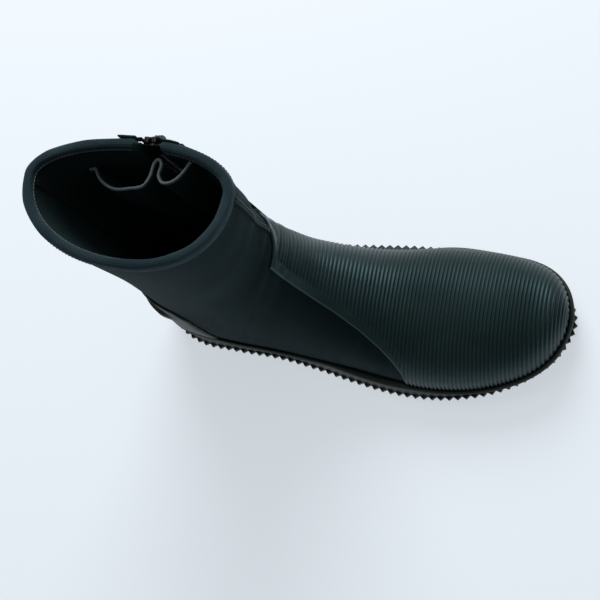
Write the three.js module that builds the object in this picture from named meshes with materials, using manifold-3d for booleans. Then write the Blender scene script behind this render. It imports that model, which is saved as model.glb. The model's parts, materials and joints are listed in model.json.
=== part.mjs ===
// A right-foot neoprene diving boot: a glued sock of foam panels on a moulded rubber sole, with a
// ribbed rubber vamp over the toes, a rubber heel patch and a toothed zip on the inner side.
// Millimetres, +X towards the toe, +Y towards the inner (medial) side, +Z up.
import * as THREE from "three";
import { mergeVertices } from "three/addons/utils/BufferGeometryUtils.js";
import Module from "manifold-3d";

const wasm = await Module();
wasm.setup();

// ---- Driving dimensions ----
const footLength = 288; // heel to toe of the sock
const ballWidth = 98.5; // sock across the ball of the foot
const instepHeight = 84; // ridge of the instep above the sole, at the front of the ankle bend
const cuffHeight = 216; // middle of the rim above the top of the sole
const cuffLength = 131; // rim from front to back
const cuffWidth = 83; // rim from side to side

const neoprene = 5; // foam panels
const glueGap = 0.3; // clearance between pieces that touch
const vampRubber = 1.8; // ribbed overlay
const heelRubber = 1.7; // heel patch
const seamTape = 0.9; // raised seam and inner seam tape
const seamWidth = 5;
const hemHeight = 8; // folded rim above the panels
const hemProud = 0.8; // how far the hem stands out on both sides
const gussetThick = 1.5;

const treadHeight = 2.2;
const outsoleThick = 5; // tread included
const midsoleThick = 2.4;
const insoleThick = 4;
const toothPitch = 6; // points of the sole's serrated edge
const toothDepth = 2.4;
const randWall = 2.2;
const midsoleInset = 6; // how far the midsole stays inside the sole's points

const tapeWidth = 14;
const tapeThick = 0.9;
const zipPitch = 3.1;
const zipWay = 2.2; // clear way between the two rows for the slider's post
const rowWidth = 3.2;
const rowThick = 2.6;
const stopLength = 2.5;
const slotClear = 0.8; // room beside the slider in the opening behind the zip
const sliderLength = 14;
const sliderPlate = 1.2;
const lipWidth = 1;
const pinRadius = 0.8;
const pullLength = 26;
const pullWidth = 7;
const pullThick = 1.6;

const soleTop = outsoleThick + glueGap + midsoleThick + glueGap;

// ---- The last: rings from the toe to the rim ----
// Each ring runs from a keel point (sole, heel or back of the leg) to a ridge point (top of the foot
// or front of the leg). Foot rings are shares of the foot's length, instep height and half the ball
// width. Shaft rings rise from the ankle ring to the rim ring by a share of the way.
const halfBall = ballWidth / 2;
const footRings = [
  // ridge x, ridge z, keel x, keel z, outer half width, inner half width, height share of the widest line
  [1.0, 0.214, 1.0, 0.19, 0.01, 0.01, 0.5],
  [0.993, 0.345, 0.991, 0.06, 0.32, 0.28, 0.42],
  [0.965, 0.452, 0.962, 0.012, 0.6, 0.54, 0.36],
  [0.91, 0.505, 0.903, 0, 0.835, 0.735, 0.33],
  [0.823, 0.525, 0.816, 0, 0.995, 0.855, 0.31],
  [0.719, 0.548, 0.705, 0, 1.035, 0.89, 0.3],
  [0.618, 0.612, 0.59, 0, 0.98, 0.8, 0.3],
  [0.531, 0.798, 0.469, 0, 0.88, 0.715, 0.32],
  [0.462, 1.0, 0.337, 0, 0.8, 0.665, 0.36],
  [0.415, 1.22, 0.215, 0, 0.771, 0.69, 0.42],
  [0.394, 1.45, 0.111, 0.006, 0.755, 0.675, 0.5],
  [0.386, 1.631, 0.031, 0.107, 0.755, 0.66, 0.55],
  [0.383, 1.786, 0.003, 0.44, 0.771, 0.65, 0.58],
];
const shaftSteps = [0.25, 0.5, 0.75, 1]; // shares of the way from the last foot ring to the rim
const rimMiddle = 47.5; // rim's middle, forward of the back of the heel
const rimDrop = 14; // the rim's front edge is lower than its back edge
const rimInnerShare = 0.373; // share of the cuff's width on the inner side of the front and back seams
const rimWidest = 0.557;
const backBow = 9; // the back of the leg stands in from a straight line above the heel
const toeTurn = 4.6; // the toe turns inwards
const crownPower = 2.1; // 2 is an ellipse, and more is squarer
const solePower = 1.7; // squarer still under the foot

function lastRings() {
  const rings = footRings.map(([rx, rz, kx, kz, outer, inner, widest]) => ({
    ridge: new THREE.Vector2(rx * footLength, soleTop + rz * instepHeight),
    keel: new THREE.Vector2(kx * footLength, soleTop + kz * instepHeight),
    outer: outer * halfBall,
    inner: inner * halfBall,
    widest,
  }));
  const ankle = rings[rings.length - 1];
  const rim = {
    ridge: new THREE.Vector2(rimMiddle + cuffLength / 2, soleTop + cuffHeight - rimDrop / 2),
    keel: new THREE.Vector2(rimMiddle - cuffLength / 2, soleTop + cuffHeight + rimDrop / 2),
    outer: cuffWidth * (1 - rimInnerShare),
    inner: cuffWidth * rimInnerShare,
    widest: rimWidest,
  };
  for (const share of shaftSteps) {
    const keel = ankle.keel.clone().lerp(rim.keel, share);
    keel.x += backBow * Math.sin(Math.PI * share);
    rings.push({
      ridge: ankle.ridge.clone().lerp(rim.ridge, share),
      keel,
      outer: THREE.MathUtils.lerp(ankle.outer, rim.outer, share),
      inner: THREE.MathUtils.lerp(ankle.inner, rim.inner, share),
      widest: THREE.MathUtils.lerp(ankle.widest, rim.widest, share),
    });
  }
  return rings;
}

const rings = lastRings();
const lastRing = rings.length - 1;
const heelRing = 10; // the ring where the flat sole ends and the heel begins to round up

// Value of a smooth curve through one number of every ring, at ring position s.
function along(s, read) {
  const i = Math.min(Math.floor(s), lastRing - 1);
  const at = (k) => read(rings[THREE.MathUtils.clamp(k, 0, lastRing)]);
  const t = s - i;
  const [p0, p1, p2, p3] = [at(i - 1), at(i), at(i + 1), at(i + 2)];
  const [v0, v1] = [(p2 - p0) / 2, (p3 - p1) / 2];
  return (2 * p1 - 2 * p2 + v0 + v1) * t ** 3 + (3 * (p2 - p1) - 2 * v0 - v1) * t ** 2 + v0 * t + p1;
}

// Point of the sock's outer face at ring position s and angle a: 0 on the ridge, a > 0 on the inner
// side, half a turn at the keel.
function skin(s, a) {
  const ridgeX = along(s, (r) => r.ridge.x);
  const ridgeZ = along(s, (r) => r.ridge.y);
  const keelX = along(s, (r) => r.keel.x);
  const keelZ = along(s, (r) => r.keel.y);
  const widest = along(s, (r) => r.widest);
  const half = along(s, (r) => (a < 0 ? r.outer : r.inner));
  const foot = THREE.MathUtils.clamp((heelRing + 2 - s) / 3, 0, 1);
  const power = Math.cos(a) >= 0 ? crownPower : crownPower + solePower * foot;
  const wide = Math.sign(Math.sin(a)) * Math.abs(Math.sin(a)) ** (2 / power);
  const high = Math.abs(Math.cos(a)) ** (2 / power);
  const t = Math.cos(a) >= 0 ? widest + (1 - widest) * high : widest * (1 - high);
  const x = keelX + t * (ridgeX - keelX);
  const turn = toeTurn * THREE.MathUtils.clamp((x / footLength - 0.66) / 0.34, 0, 1) ** 1.6;
  return new THREE.Vector3(x, wide * half + turn, keelZ + t * (ridgeZ - keelZ));
}

function skinNormal(s, a) {
  const ds = 0.02;
  const da = 0.02;
  if (s < ds) return new THREE.Vector3(1, 0, 0);
  const alongS = skin(Math.min(s + ds, lastRing), a).sub(skin(s - ds, a));
  const alongA = skin(s, a + da).sub(skin(s, a - da));
  return alongS.cross(alongA).normalize().negate();
}

// ---- Solids ----
function solid(points, faces) {
  const loose = new THREE.BufferGeometry();
  loose.setAttribute("position", new THREE.Float32BufferAttribute(points.flatMap((p) => [p.x, p.y, p.z]), 3));
  loose.setIndex(faces.flat());
  return closed(loose);
}

// A closed mesh as a manifold solid, turned right way out.
function closed(geometry) {
  const bare = geometry.clone();
  bare.deleteAttribute("normal");
  bare.deleteAttribute("uv");
  const merged = mergeVertices(bare, 1e-3);
  const index = [...merged.index.array];
  let triVerts = [];
  for (let i = 0; i < index.length; i += 3) {
    const [a, b, c] = index.slice(i, i + 3);
    if (a !== b && b !== c && c !== a) triVerts.push(a, b, c);
  }
  const vertProperties = merged.attributes.position.array;
  const make = (verts) =>
    new wasm.Manifold(new wasm.Mesh({ numProp: 3, vertProperties, triVerts: new Uint32Array(verts) }));
  const first = make(triVerts);
  return first.volume() > 0 ? first : make(triVerts.reverse());
}

function geometryOf(made) {
  const mesh = made.getMesh();
  const geometry = new THREE.BufferGeometry();
  geometry.setAttribute("position", new THREE.BufferAttribute(mesh.vertProperties, 3));
  geometry.setIndex(new THREE.BufferAttribute(mesh.triVerts, 1));
  return geometry;
}

function quad(a, b, c, d) {
  return [
    [a, b, c],
    [a, c, d],
  ];
}

// Rings of the lattice that every layer of the boot shares, closer together round the toe.
const latticeRings = [0.4, 0.8, 1.3, 2, 2.75, 3.5, 4.25, 5, 5.75, 6.5, 7.25, 8, 8.6, 9.2, 9.8];
for (let s = 10.4; s < lastRing - 0.3; s += 0.62) latticeRings.push(s);
latticeRings.push(lastRing);
const latticeTurns = 28;

// The boot's surface at a distance from the sock's outer face: a pole at the toe and rings to the rim.
function shell(distance) {
  const points = [skin(0, 0).add(new THREE.Vector3(distance, 0, 0))];
  for (const s of latticeRings)
    for (let j = 0; j < latticeTurns; j++) {
      const a = (j / latticeTurns - 0.5) * 2 * Math.PI;
      points.push(skin(s, a).addScaledVector(skinNormal(s, a), distance));
    }
  return points;
}

const ringPoint = (i, j) => 1 + i * latticeTurns + (j % latticeTurns);
const topRing = latticeRings.length - 1;

function shellFaces(base) {
  const faces = [];
  for (let j = 0; j < latticeTurns; j++) {
    faces.push([0, ringPoint(0, j), ringPoint(0, j + 1)]);
    for (let i = 0; i < topRing; i++)
      faces.push(...quad(ringPoint(i, j), ringPoint(i + 1, j), ringPoint(i + 1, j + 1), ringPoint(i, j + 1)));
  }
  return faces.map((face) => face.map((k) => k + base));
}

// A filled solid out to a distance from the sock's outer face.
function filled(distance) {
  const points = shell(distance);
  const faces = shellFaces(0);
  const middle = new THREE.Vector3();
  for (let j = 0; j < latticeTurns; j++) middle.addScaledVector(points[ringPoint(topRing, j)], 1 / latticeTurns);
  points.push(middle);
  const cap = points.length - 1;
  for (let j = 0; j < latticeTurns; j++) faces.push([ringPoint(topRing, j), cap, ringPoint(topRing, j + 1)]);
  return solid(points, faces);
}

// A layer that follows the boot between two distances from the sock's outer face, open at the rim.
function layer(inside, outside) {
  const outer = shell(outside);
  const base = outer.length;
  const faces = [...shellFaces(0), ...shellFaces(base).map(([a, b, c]) => [a, c, b])];
  for (let j = 0; j < latticeTurns; j++) {
    const [a, b] = [ringPoint(topRing, j), ringPoint(topRing, j + 1)];
    faces.push(...quad(a, base + a, base + b, b));
  }
  return solid([...outer, ...shell(inside)], faces);
}

// Cutting tools: an outline drawn in one view and run right through along the third axis.
const reach = 400;
function outlined(points, depth) {
  const shape = new THREE.Shape(points.map(([u, v]) => new THREE.Vector2(u, v)));
  return new THREE.ExtrudeGeometry(shape, { depth, bevelEnabled: false });
}
const planCut = (points) => closed(outlined(points, 2 * reach).translate(0, 0, -reach));
const sideCut = (points) => closed(outlined(points, 2 * reach).translate(0, 0, -reach).rotateX(Math.PI / 2));
const frontCut = (points) =>
  closed(outlined(points, 2 * reach).translate(0, 0, -reach).rotateX(Math.PI / 2).rotateZ(Math.PI / 2));
const slab = (low, high) => planCut([[-reach, -reach], [reach, -reach], [reach, reach], [-reach, reach]]).intersect(
  closed(new THREE.BoxGeometry(2 * reach, 2 * reach, high - low).translate(0, 0, (low + high) / 2)),
);

// ---- Sole outline ----
const soleLength = footLength + 9; // the rubber stands out past the heel and the toe
const soleHeel = -4;
const outerEdge = [
  [0, 0],
  [0.035, 0.42],
  [0.1, 0.66],
  [0.2, 0.74],
  [0.31, 0.79],
  [0.41, 0.9],
  [0.51, 1.04],
  [0.61, 1.14],
  [0.7, 1.15],
  [0.77, 1.09],
  [0.84, 0.96],
  [0.905, 0.74],
  [0.96, 0.44],
  [0.99, 0.12],
];
const innerEdge = [
  [1, -0.12],
  [0.985, -0.42],
  [0.945, -0.7],
  [0.895, -0.89],
  [0.83, -1.01],
  [0.76, -1.07],
  [0.68, -1.09],
  [0.59, -1.09],
  [0.5, -1.06],
  [0.4, -1.02],
  [0.3, -0.94],
  [0.2, -0.81],
  [0.1, -0.67],
  [0.035, -0.42],
];
// The edge at the middle of the ground face, as a closed curve that starts at the back of the heel.
const soleCurve = new THREE.CatmullRomCurve3(
  [...outerEdge, ...innerEdge].map(([x, y]) => new THREE.Vector3(soleHeel + x * soleLength, -y * halfBall, 0)),
  true,
  "centripetal",
);
soleCurve.arcLengthDivisions = 800;

// Points of the outline moved inwards, with their own spacing.
function soleOutline(inset, count) {
  const points = [];
  for (let i = 0; i < count; i++) {
    const p = soleCurve.getPointAt(i / count);
    const t = soleCurve.getTangentAt(i / count);
    points.push([p.x + inset * t.y, p.y - inset * t.x]);
  }
  return points;
}
const outlineTurns = 56;
const insetSign = (() => {
  const plain = new THREE.Shape(soleOutline(0, outlineTurns).map(([x, y]) => new THREE.Vector2(x, y)));
  return THREE.ShapeUtils.isClockWise(plain.getPoints()) ? 1 : -1;
})();
const inset = (distance, count = outlineTurns) => soleOutline(distance * insetSign, count);

// ---- Rubber sole ----
function serratedOutline() {
  const teeth = 2 * Math.round(soleCurve.getLength() / toothPitch);
  const valleys = inset(toothDepth, teeth);
  const tips = inset(0, teeth);
  return tips.map((tip, i) => (i % 2 ? tip : valleys[i]));
}

const lugPitch = 14;
const lugWidth = 7;
const lugStep = 12; // half a zigzag
const lugAmplitude = 4;
function lugOutline(x) {
  const back = [];
  const front = [];
  const steps = Math.ceil((1.3 * halfBall) / lugStep);
  for (let k = -steps; k <= steps; k++) {
    const sway = k % 2 ? lugAmplitude : -lugAmplitude;
    back.push([x + sway - lugWidth / 2, k * lugStep]);
    front.unshift([x + sway + lugWidth / 2, k * lugStep]);
  }
  return [...back, ...front];
}

function outsole() {
  let plate = closed(outlined(serratedOutline(), outsoleThick - treadHeight).translate(0, 0, treadHeight));
  const ground = closed(outlined(inset(toothDepth + 1.2), treadHeight + 0.1));
  for (let x = soleHeel + lugPitch / 2 + 2; x < soleHeel + soleLength; x += lugPitch)
    plate = plate.add(ground.intersect(planCut(lugOutline(x))));
  return plate;
}

function midsole() {
  return closed(outlined(inset(midsoleInset), midsoleThick).translate(0, 0, outsoleThick + glueGap));
}

// The rand's top edge is high round the heel, low along the ball and a little higher at the toe.
const randHeel = 24;
const randBall = 9;
const randToe = 14;
function randTop(x) {
  const share = x / footLength;
  const heel = (randHeel - randBall) * (1 - THREE.MathUtils.smoothstep(share, 0.12, 0.6));
  const toe = (randToe - randBall) * THREE.MathUtils.smoothstep(share, 0.75, 1);
  return soleTop + randBall + heel + toe;
}

// Everything between the outsole and the rand's top edge moved up by grow.
function underRand(grow) {
  const edge = [];
  for (let x = -30; x <= footLength + 30; x += 12) edge.push([x, randTop(x) + grow]);
  return sideCut([...edge, [footLength + 30, outsoleThick + glueGap], [-30, outsoleThick + glueGap]]);
}

// How far the rand leans inwards for each millimetre it rises: only along the arch, where the sock is
// much narrower than the sole.
const archLean = 0.95;
function leanAt([x, y]) {
  if (y < 0) return 0;
  const share = x / footLength;
  const { smoothstep } = THREE.MathUtils;
  return archLean * smoothstep(share, 0.12, 0.32) * (1 - smoothstep(share, 0.52, 0.72));
}

// The rand's filled foot, from the outsole up to above its highest edge.
const randInset = toothDepth - 0.4;
function plinth() {
  const rise = soleTop + randHeel + 1 - outsoleThick;
  const low = inset(randInset);
  const high = low.map((p, i) => {
    const further = inset(randInset + 1)[i];
    const lean = leanAt(p) * rise;
    return [p[0] + (further[0] - p[0]) * lean, p[1] + (further[1] - p[1]) * lean];
  });
  const points = [
    ...low.map(([x, y]) => new THREE.Vector3(x, y, outsoleThick)),
    ...high.map(([x, y]) => new THREE.Vector3(x, y, outsoleThick + rise)),
    new THREE.Vector3(footLength / 2, 0, outsoleThick),
    new THREE.Vector3(footLength / 2, 0, outsoleThick + rise),
  ];
  const turns = low.length;
  const faces = [];
  for (let i = 0; i < turns; i++) {
    const next = (i + 1) % turns;
    faces.push(...quad(i, next, turns + next, turns + i), [next, i, 2 * turns], [turns + i, turns + next, 2 * turns + 1]);
  }
  return solid(points, faces);
}

function rand() {
  const onVamp = 2 * glueGap + vampRubber;
  return plinth()
    .add(filled(glueGap + randWall))
    .add(filled(onVamp + randWall).intersect(vampRegion(0)))
    .intersect(underRand(0))
    .subtract(planCut(inset(midsoleInset - glueGap)).intersect(slab(-1, soleTop)))
    .subtract(filled(glueGap))
    .subtract(filled(onVamp).intersect(vampRegion(glueGap)));
}

// ---- Ribbed vamp ----
// The overlay's two edges in plan, as shares of the foot's length and of half the ball width: a tongue
// up the instep that opens out to the ball of the foot, and reaches further down on the inner side.
const tongueOuter = [
  [0.37, 0.22],
  [0.44, 0.33],
  [0.5, 0.45],
  [0.55, 0.585],
  [0.592, 0.73],
  [0.621, 0.85],
  [0.651, 1.01],
  [0.675, 1.4],
];
const tongueInner = [
  [0.37, 0.52],
  [0.42, 0.6],
  [0.47, 0.7],
  [0.52, 0.84],
  [0.56, 1.05],
  [0.58, 1.4],
];
const vampTop = soleTop + 1.46 * instepHeight; // where the tongue ends, on the ridge
const vampSlope = 0.4; // its end climbs towards the inner side
function vampRegion(grow) {
  const edge = (shares) => shares.map(([x, y]) => [x * footLength - grow, y * halfBall + grow]);
  const outer = edge(tongueOuter).map(([x, y]) => [x, -y]).reverse();
  const nose = 1.2 * footLength;
  const side = 1.4 * halfBall + grow;
  const plan = planCut([...outer, ...edge(tongueInner), [nose, side], [nose, -side]]);
  const rise = vampSlope * reach;
  const under = frontCut([
    [-reach, -reach],
    [reach, -reach],
    [reach, vampTop + grow + rise],
    [-reach, vampTop + grow - rise],
  ]);
  return plan.intersect(under);
}

const vampHem = 1.5; // its lower edge is this far above the bottom of the sock
function ribbedVamp() {
  return layer(glueGap, glueGap + vampRubber).intersect(vampRegion(0)).intersect(slab(soleTop + vampHem, reach));
}

// ---- Sock ----
const seamSway = 0.2 * halfBall; // the front seam drifts inwards at the ankle

// Everything on the outer side of the front and back seams, moved inwards by shift.
function outerSide(shift) {
  const ahead = sideCut([[rimMiddle, -reach], [reach, -reach], [reach, reach], [rimMiddle, reach]]);
  const behind = sideCut([[-reach, -reach], [rimMiddle, -reach], [rimMiddle, reach], [-reach, reach]]);
  const frontSide = frontCut([
    [-reach, -reach],
    [shift, -reach],
    [shift, soleTop + 0.6 * instepHeight],
    [seamSway + shift, vampTop],
    [shift, soleTop + cuffHeight],
    [shift, reach],
    [-reach, reach],
  ]);
  const backSide = frontCut([[-reach, -reach], [shift, -reach], [shift, reach], [-reach, reach]]);
  return frontSide.intersect(ahead).add(backSide.intersect(behind));
}

// Everything under a plane that lies a distance below the rim.
function underRim(distance) {
  const rim = rings[lastRing];
  const slope = (rim.ridge.y - rim.keel.y) / (rim.ridge.x - rim.keel.x);
  const at = (x) => rim.keel.y + slope * (x - rim.keel.x) - distance;
  return sideCut([[-reach, -reach], [reach, -reach], [reach, at(reach)], [-reach, at(-reach)]]);
}

const sock = layer(-neoprene, 0);
const soleBoundary = soleTop + neoprene;

function sockSole() {
  return sock.intersect(slab(soleTop - 1, soleBoundary));
}

function wall() {
  return sock.intersect(underRim(hemHeight + glueGap)).intersect(slab(soleBoundary + glueGap, reach));
}

function outerPanel() {
  return wall().intersect(outerSide(-glueGap / 2));
}

function innerFrontPanel() {
  return wall().subtract(outerSide(glueGap / 2)).intersect(aheadOfZip(glueGap / 2)).subtract(zipSlot(0));
}

function innerHeelPanel() {
  return wall().subtract(outerSide(glueGap / 2)).subtract(aheadOfZip(-glueGap / 2)).subtract(zipSlot(0));
}

function cuffHem() {
  return layer(-neoprene - hemProud, hemProud).subtract(underRim(hemHeight)).subtract(zipSlot(hemSetBack));
}

// A raised tape over the front seam, down to the tongue of the vamp.
function frontSeamTape() {
  const ahead = sideCut([[rimMiddle, -reach], [reach, -reach], [reach, reach], [rimMiddle, reach]]);
  return layer(glueGap, glueGap + seamTape)
    .intersect(outerSide(seamWidth / 2))
    .subtract(outerSide(-seamWidth / 2))
    .intersect(ahead)
    .intersect(slab(soleTop + instepHeight, reach))
    .intersect(underRim(hemHeight + glueGap))
    .subtract(vampRegion(glueGap));
}

// A flat tape inside over the back seam, from the heel to the hem.
function backSeamTape() {
  const low = soleTop + 0.45 * instepHeight;
  const behind = sideCut([[-reach, low], [rimMiddle, low], [rimMiddle, reach], [-reach, reach]]);
  const inside = neoprene + glueGap;
  return layer(-inside - seamTape, -inside)
    .intersect(outerSide(seamWidth))
    .subtract(outerSide(-seamWidth))
    .intersect(behind)
    .intersect(underRim(hemHeight + glueGap));
}

function insole() {
  const floor = soleBoundary + glueGap;
  return filled(-neoprene - glueGap).intersect(slab(floor, floor + insoleThick));
}

// ---- Heel patch ----
const heelPatchTop = 0.95 * instepHeight;
const heelPatchReach = 0.17 * footLength;
const ledgeBase = 0.58 * instepHeight; // shelf that keeps a fin strap from sliding down
const ledgeHeight = 5;
const ledgeDepth = 3.5;
function heelPatch() {
  const outside = glueGap + heelRubber;
  const region = sideCut([
    [-reach, soleTop],
    [heelPatchReach, soleTop],
    [0.8 * heelPatchReach, soleTop + 0.75 * heelPatchTop],
    [0.35 * heelPatchReach, soleTop + heelPatchTop],
    [-reach, soleTop + heelPatchTop],
  ]);
  const shelf = slab(soleTop + ledgeBase, soleTop + ledgeBase + ledgeHeight)
    .intersect(sideCut([[-reach, 0], [0.55 * heelPatchReach, 0], [0.55 * heelPatchReach, reach], [-reach, reach]]));
  return layer(glueGap, outside)
    .intersect(region)
    .add(layer(glueGap, outside + ledgeDepth).intersect(shelf))
    .subtract(underRand(glueGap));
}

// ---- Zip ----
// The zip lies in one plane on the inner side, in a frame of its own: X across it towards the heel,
// Y up its length, Z outwards, with the origin at the foot of the tapes.
const zipHead = new THREE.Vector2(rimMiddle + 7.5, soleTop + cuffHeight - 1); // seen from the side
const zipFoot = new THREE.Vector2(0.27 * footLength, soleTop + 0.56 * instepHeight);
const zipLength = zipHead.distanceTo(zipFoot);
const rowEdge = zipWay / 2 + rowWidth;
const tapeEdge = rowEdge + glueGap;
const sliderHalf = tapeEdge + glueGap + lipWidth;
const slotHalf = sliderHalf + slotClear;
const hemSetBack = 1; // the hem's ends stand back from the panels' edges

// Point of the sock's inner side at x, z seen from the side.
function innerWall(x, z) {
  let best;
  let least = Infinity;
  for (let s = heelRing - 3; s <= lastRing; s += 0.1)
    for (let a = 0.2 * Math.PI; a <= 0.85 * Math.PI; a += 0.02 * Math.PI) {
      const p = skin(s, a);
      const miss = (p.x - x) ** 2 + (p.z - z) ** 2;
      if (miss < least) [least, best] = [miss, p];
    }
  return best;
}

function zipFrame() {
  const foot = innerWall(zipFoot.x, zipFoot.y);
  const head = innerWall(zipHead.x, zipHead.y);
  const run = zipHead.clone().sub(zipFoot);
  const up = new THREE.Vector3(run.x, head.y - foot.y, run.y).normalize();
  const across = new THREE.Vector3().crossVectors(up, new THREE.Vector3(0, 1, 0)).normalize();
  const out = new THREE.Vector3().crossVectors(across, up);
  const origin = new THREE.Vector3(zipFoot.x, foot.y, zipFoot.y);
  let lift = 0;
  for (let y = -0.05; y <= 1; y += 0.07)
    for (const x of [-1.2, -0.4, 0.4, 1.2]) {
      const p = origin.clone().addScaledVector(up, y * zipLength).addScaledVector(across, x * tapeWidth);
      lift = Math.max(lift, innerWall(p.x, p.z).sub(p).dot(out));
    }
  origin.addScaledVector(out, lift + 2 * glueGap);
  return new THREE.Matrix4().makeBasis(across, up, out).setPosition(origin);
}

const zipMatrix = zipFrame();
const onBoot = (made) => closed(geometryOf(made).applyMatrix4(zipMatrix));
function block(left, right, low, high, inside, outside) {
  const box = new THREE.BoxGeometry(right - left, high - low, outside - inside);
  return closed(box.translate((left + right) / 2, (low + high) / 2, (inside + outside) / 2));
}

function zipSlot(wider) {
  const half = slotHalf + wider;
  const foot = new THREE.CylinderGeometry(half, half, 80, 24).rotateX(Math.PI / 2);
  return onBoot(block(-half, half, 0, zipLength + 40, -40, 40).add(closed(foot)));
}

// Everything in front of the zip's middle line, seen from the side, moved forward by shift.
function aheadOfZip(shift) {
  const run = zipHead.clone().sub(zipFoot).normalize();
  const low = zipFoot.clone().addScaledVector(run, -reach);
  const high = zipFoot.clone().addScaledVector(run, reach);
  const edge = [
    [low.x + shift, low.y],
    [high.x + shift, high.y],
  ];
  return sideCut([...edge, [2 * reach, high.y], [2 * reach, low.y]]);
}

// The pieces below are in the zip's own frame.
const rowLow = stopLength + 2 * glueGap;
const rowHigh = zipLength - stopLength - 2 * glueGap - 2;
const rowInside = (tapeThick - rowThick) / 2;
const rowOutside = (tapeThick + rowThick) / 2;
const plateInside = rowInside - glueGap;
const plateOutside = rowOutside + glueGap;
const onSide = (side, left, right) => (side > 0 ? [left, right] : [-right, -left]);

function zipTape(side) {
  const tuck = zipLength - hemHeight - 2; // the wide part ends under the hem
  const hemEdge = slotHalf + hemSetBack - glueGap;
  const wide = block(...onSide(side, tapeEdge, tapeEdge + tapeWidth), 0, tuck, 0, tapeThick);
  return wide.add(block(...onSide(side, tapeEdge, hemEdge), tuck - 1, zipLength, 0, tapeThick));
}

// A spine with teeth along it. The teeth of one row stand between those of the other.
const toothRelief = 0.4; // the teeth are thinner than the spine on both faces
const toothRoot = 0.5; // they stop short of the spine's far edge
function toothRow(side) {
  const spine = 0.55 * rowWidth;
  const inner = zipWay / 2;
  const across = onSide(side, inner + rowWidth - spine, inner + rowWidth);
  const toothAcross = onSide(side, inner, inner + rowWidth - toothRoot);
  const thickness = [rowInside + toothRelief, rowOutside - toothRelief];
  let row = block(...across, rowLow, rowHigh, rowInside, rowOutside);
  const first = rowLow + zipPitch * (side > 0 ? 0.25 : 0.75);
  for (let y = first; y < rowHigh - zipPitch / 2; y += zipPitch)
    row = row.add(block(...toothAcross, y, y + 0.5 * zipPitch, ...thickness));
  return row;
}

const stopProud = 0.3; // the stops stand out past the slider's plates
const stopThickness = [plateInside - stopProud, plateOutside + stopProud];
function topStop(side) {
  const low = rowHigh + glueGap;
  return block(...onSide(side, zipWay / 2, rowEdge), low, low + stopLength, ...stopThickness);
}

function bottomStop() {
  return block(-rowEdge, rowEdge, 0, stopLength, ...stopThickness);
}

const patchHeight = 9;
function footPatch() {
  const half = tapeEdge + tapeWidth;
  return block(-half, half, -patchHeight, -glueGap, 0, 2 * tapeThick);
}

// The slider: two plates with lips that close round the rows, a post between them near the head, and
// the cheeks and pin that hold the pull tab.
const sliderHigh = rowHigh - glueGap;
const sliderLow = sliderHigh - sliderLength;
const pinHeight = plateOutside + sliderPlate + 2.4;
const pinUp = sliderLow + 0.42 * sliderLength;
const knuckle = 2.8; // width of the pull tab's eye
const cheek = 1.2; // thickness of each cheek
const cheekHalf = 2; // half a cheek's length along the zip
const postLength = 3;
const overlap = 0.1; // pieces of one body run this far into each other
function slider() {
  const [low, high] = [sliderLow, sliderHigh];
  const [inside, outside] = [plateInside - sliderPlate, plateOutside + sliderPlate];
  let body = block(-sliderHalf, sliderHalf, low, high, plateOutside, outside);
  body = body.add(block(-sliderHalf, sliderHalf, low, high, inside, plateInside));
  const post = zipWay / 2 - glueGap;
  body = body.add(block(-post, post, high - postLength - 1, high - 1, inside + overlap, outside - overlap));
  for (const side of [-1, 1]) {
    const lip = onSide(side, sliderHalf - lipWidth, sliderHalf);
    body = body.add(block(...lip, low, high, tapeThick + glueGap, plateOutside + overlap));
    body = body.add(block(...lip, low, high, plateInside - overlap, -glueGap));
    const ear = onSide(side, knuckle / 2 + glueGap, knuckle / 2 + glueGap + cheek);
    body = body.add(block(...ear, pinUp - cheekHalf, pinUp + cheekHalf, outside - overlap, pinHeight + 1.4));
  }
  const pin = new THREE.CylinderGeometry(pinRadius, pinRadius, knuckle + 2 * glueGap + cheek, 16);
  return body.add(closed(pin.rotateZ(Math.PI / 2).translate(0, pinUp, pinHeight)));
}

// A flat tab with an eye round the slider's pin, hanging down the zip. Its origin is the pin's middle.
function pullTab() {
  const eye = new THREE.CylinderGeometry(pinRadius + glueGap + 1, pinRadius + glueGap + 1, knuckle, 20);
  const bore = new THREE.CylinderGeometry(pinRadius + glueGap, pinRadius + glueGap, knuckle + 2, 20);
  const neck = block(-knuckle / 2, knuckle / 2, -7, -1.5, -pullThick / 2, pullThick / 2);
  const grip = new THREE.Shape();
  const half = pullWidth / 2;
  grip.moveTo(-0.7 * half, -6);
  grip.lineTo(0.7 * half, -6);
  grip.lineTo(half, -9);
  grip.lineTo(half, half - pullLength);
  grip.absarc(0, half - pullLength, half, 0, -Math.PI, true);
  grip.lineTo(-half, -9);
  const plate = new THREE.ExtrudeGeometry(grip, { depth: pullThick, bevelEnabled: false, curveSegments: 10 });
  return closed(eye.rotateZ(Math.PI / 2))
    .add(neck)
    .add(closed(plate.translate(0, 0, -pullThick / 2)))
    .subtract(closed(bore.rotateZ(Math.PI / 2)));
}

// ---- Zip ends and gusset ----
// A tab sewn over the end of the hem beside the zip, in the boot's frame.
const tabLength = 11;
function hemTab(side) {
  const start = slotHalf + hemSetBack + glueGap;
  const span = onSide(side, start, start + tabLength);
  const window = onBoot(block(...span, zipLength - hemHeight - 1, zipLength + 20, -12, 40));
  const outside = hemProud + glueGap;
  return layer(outside, outside + tapeThick).intersect(window).subtract(underRim(hemHeight - 0.5));
}

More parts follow.
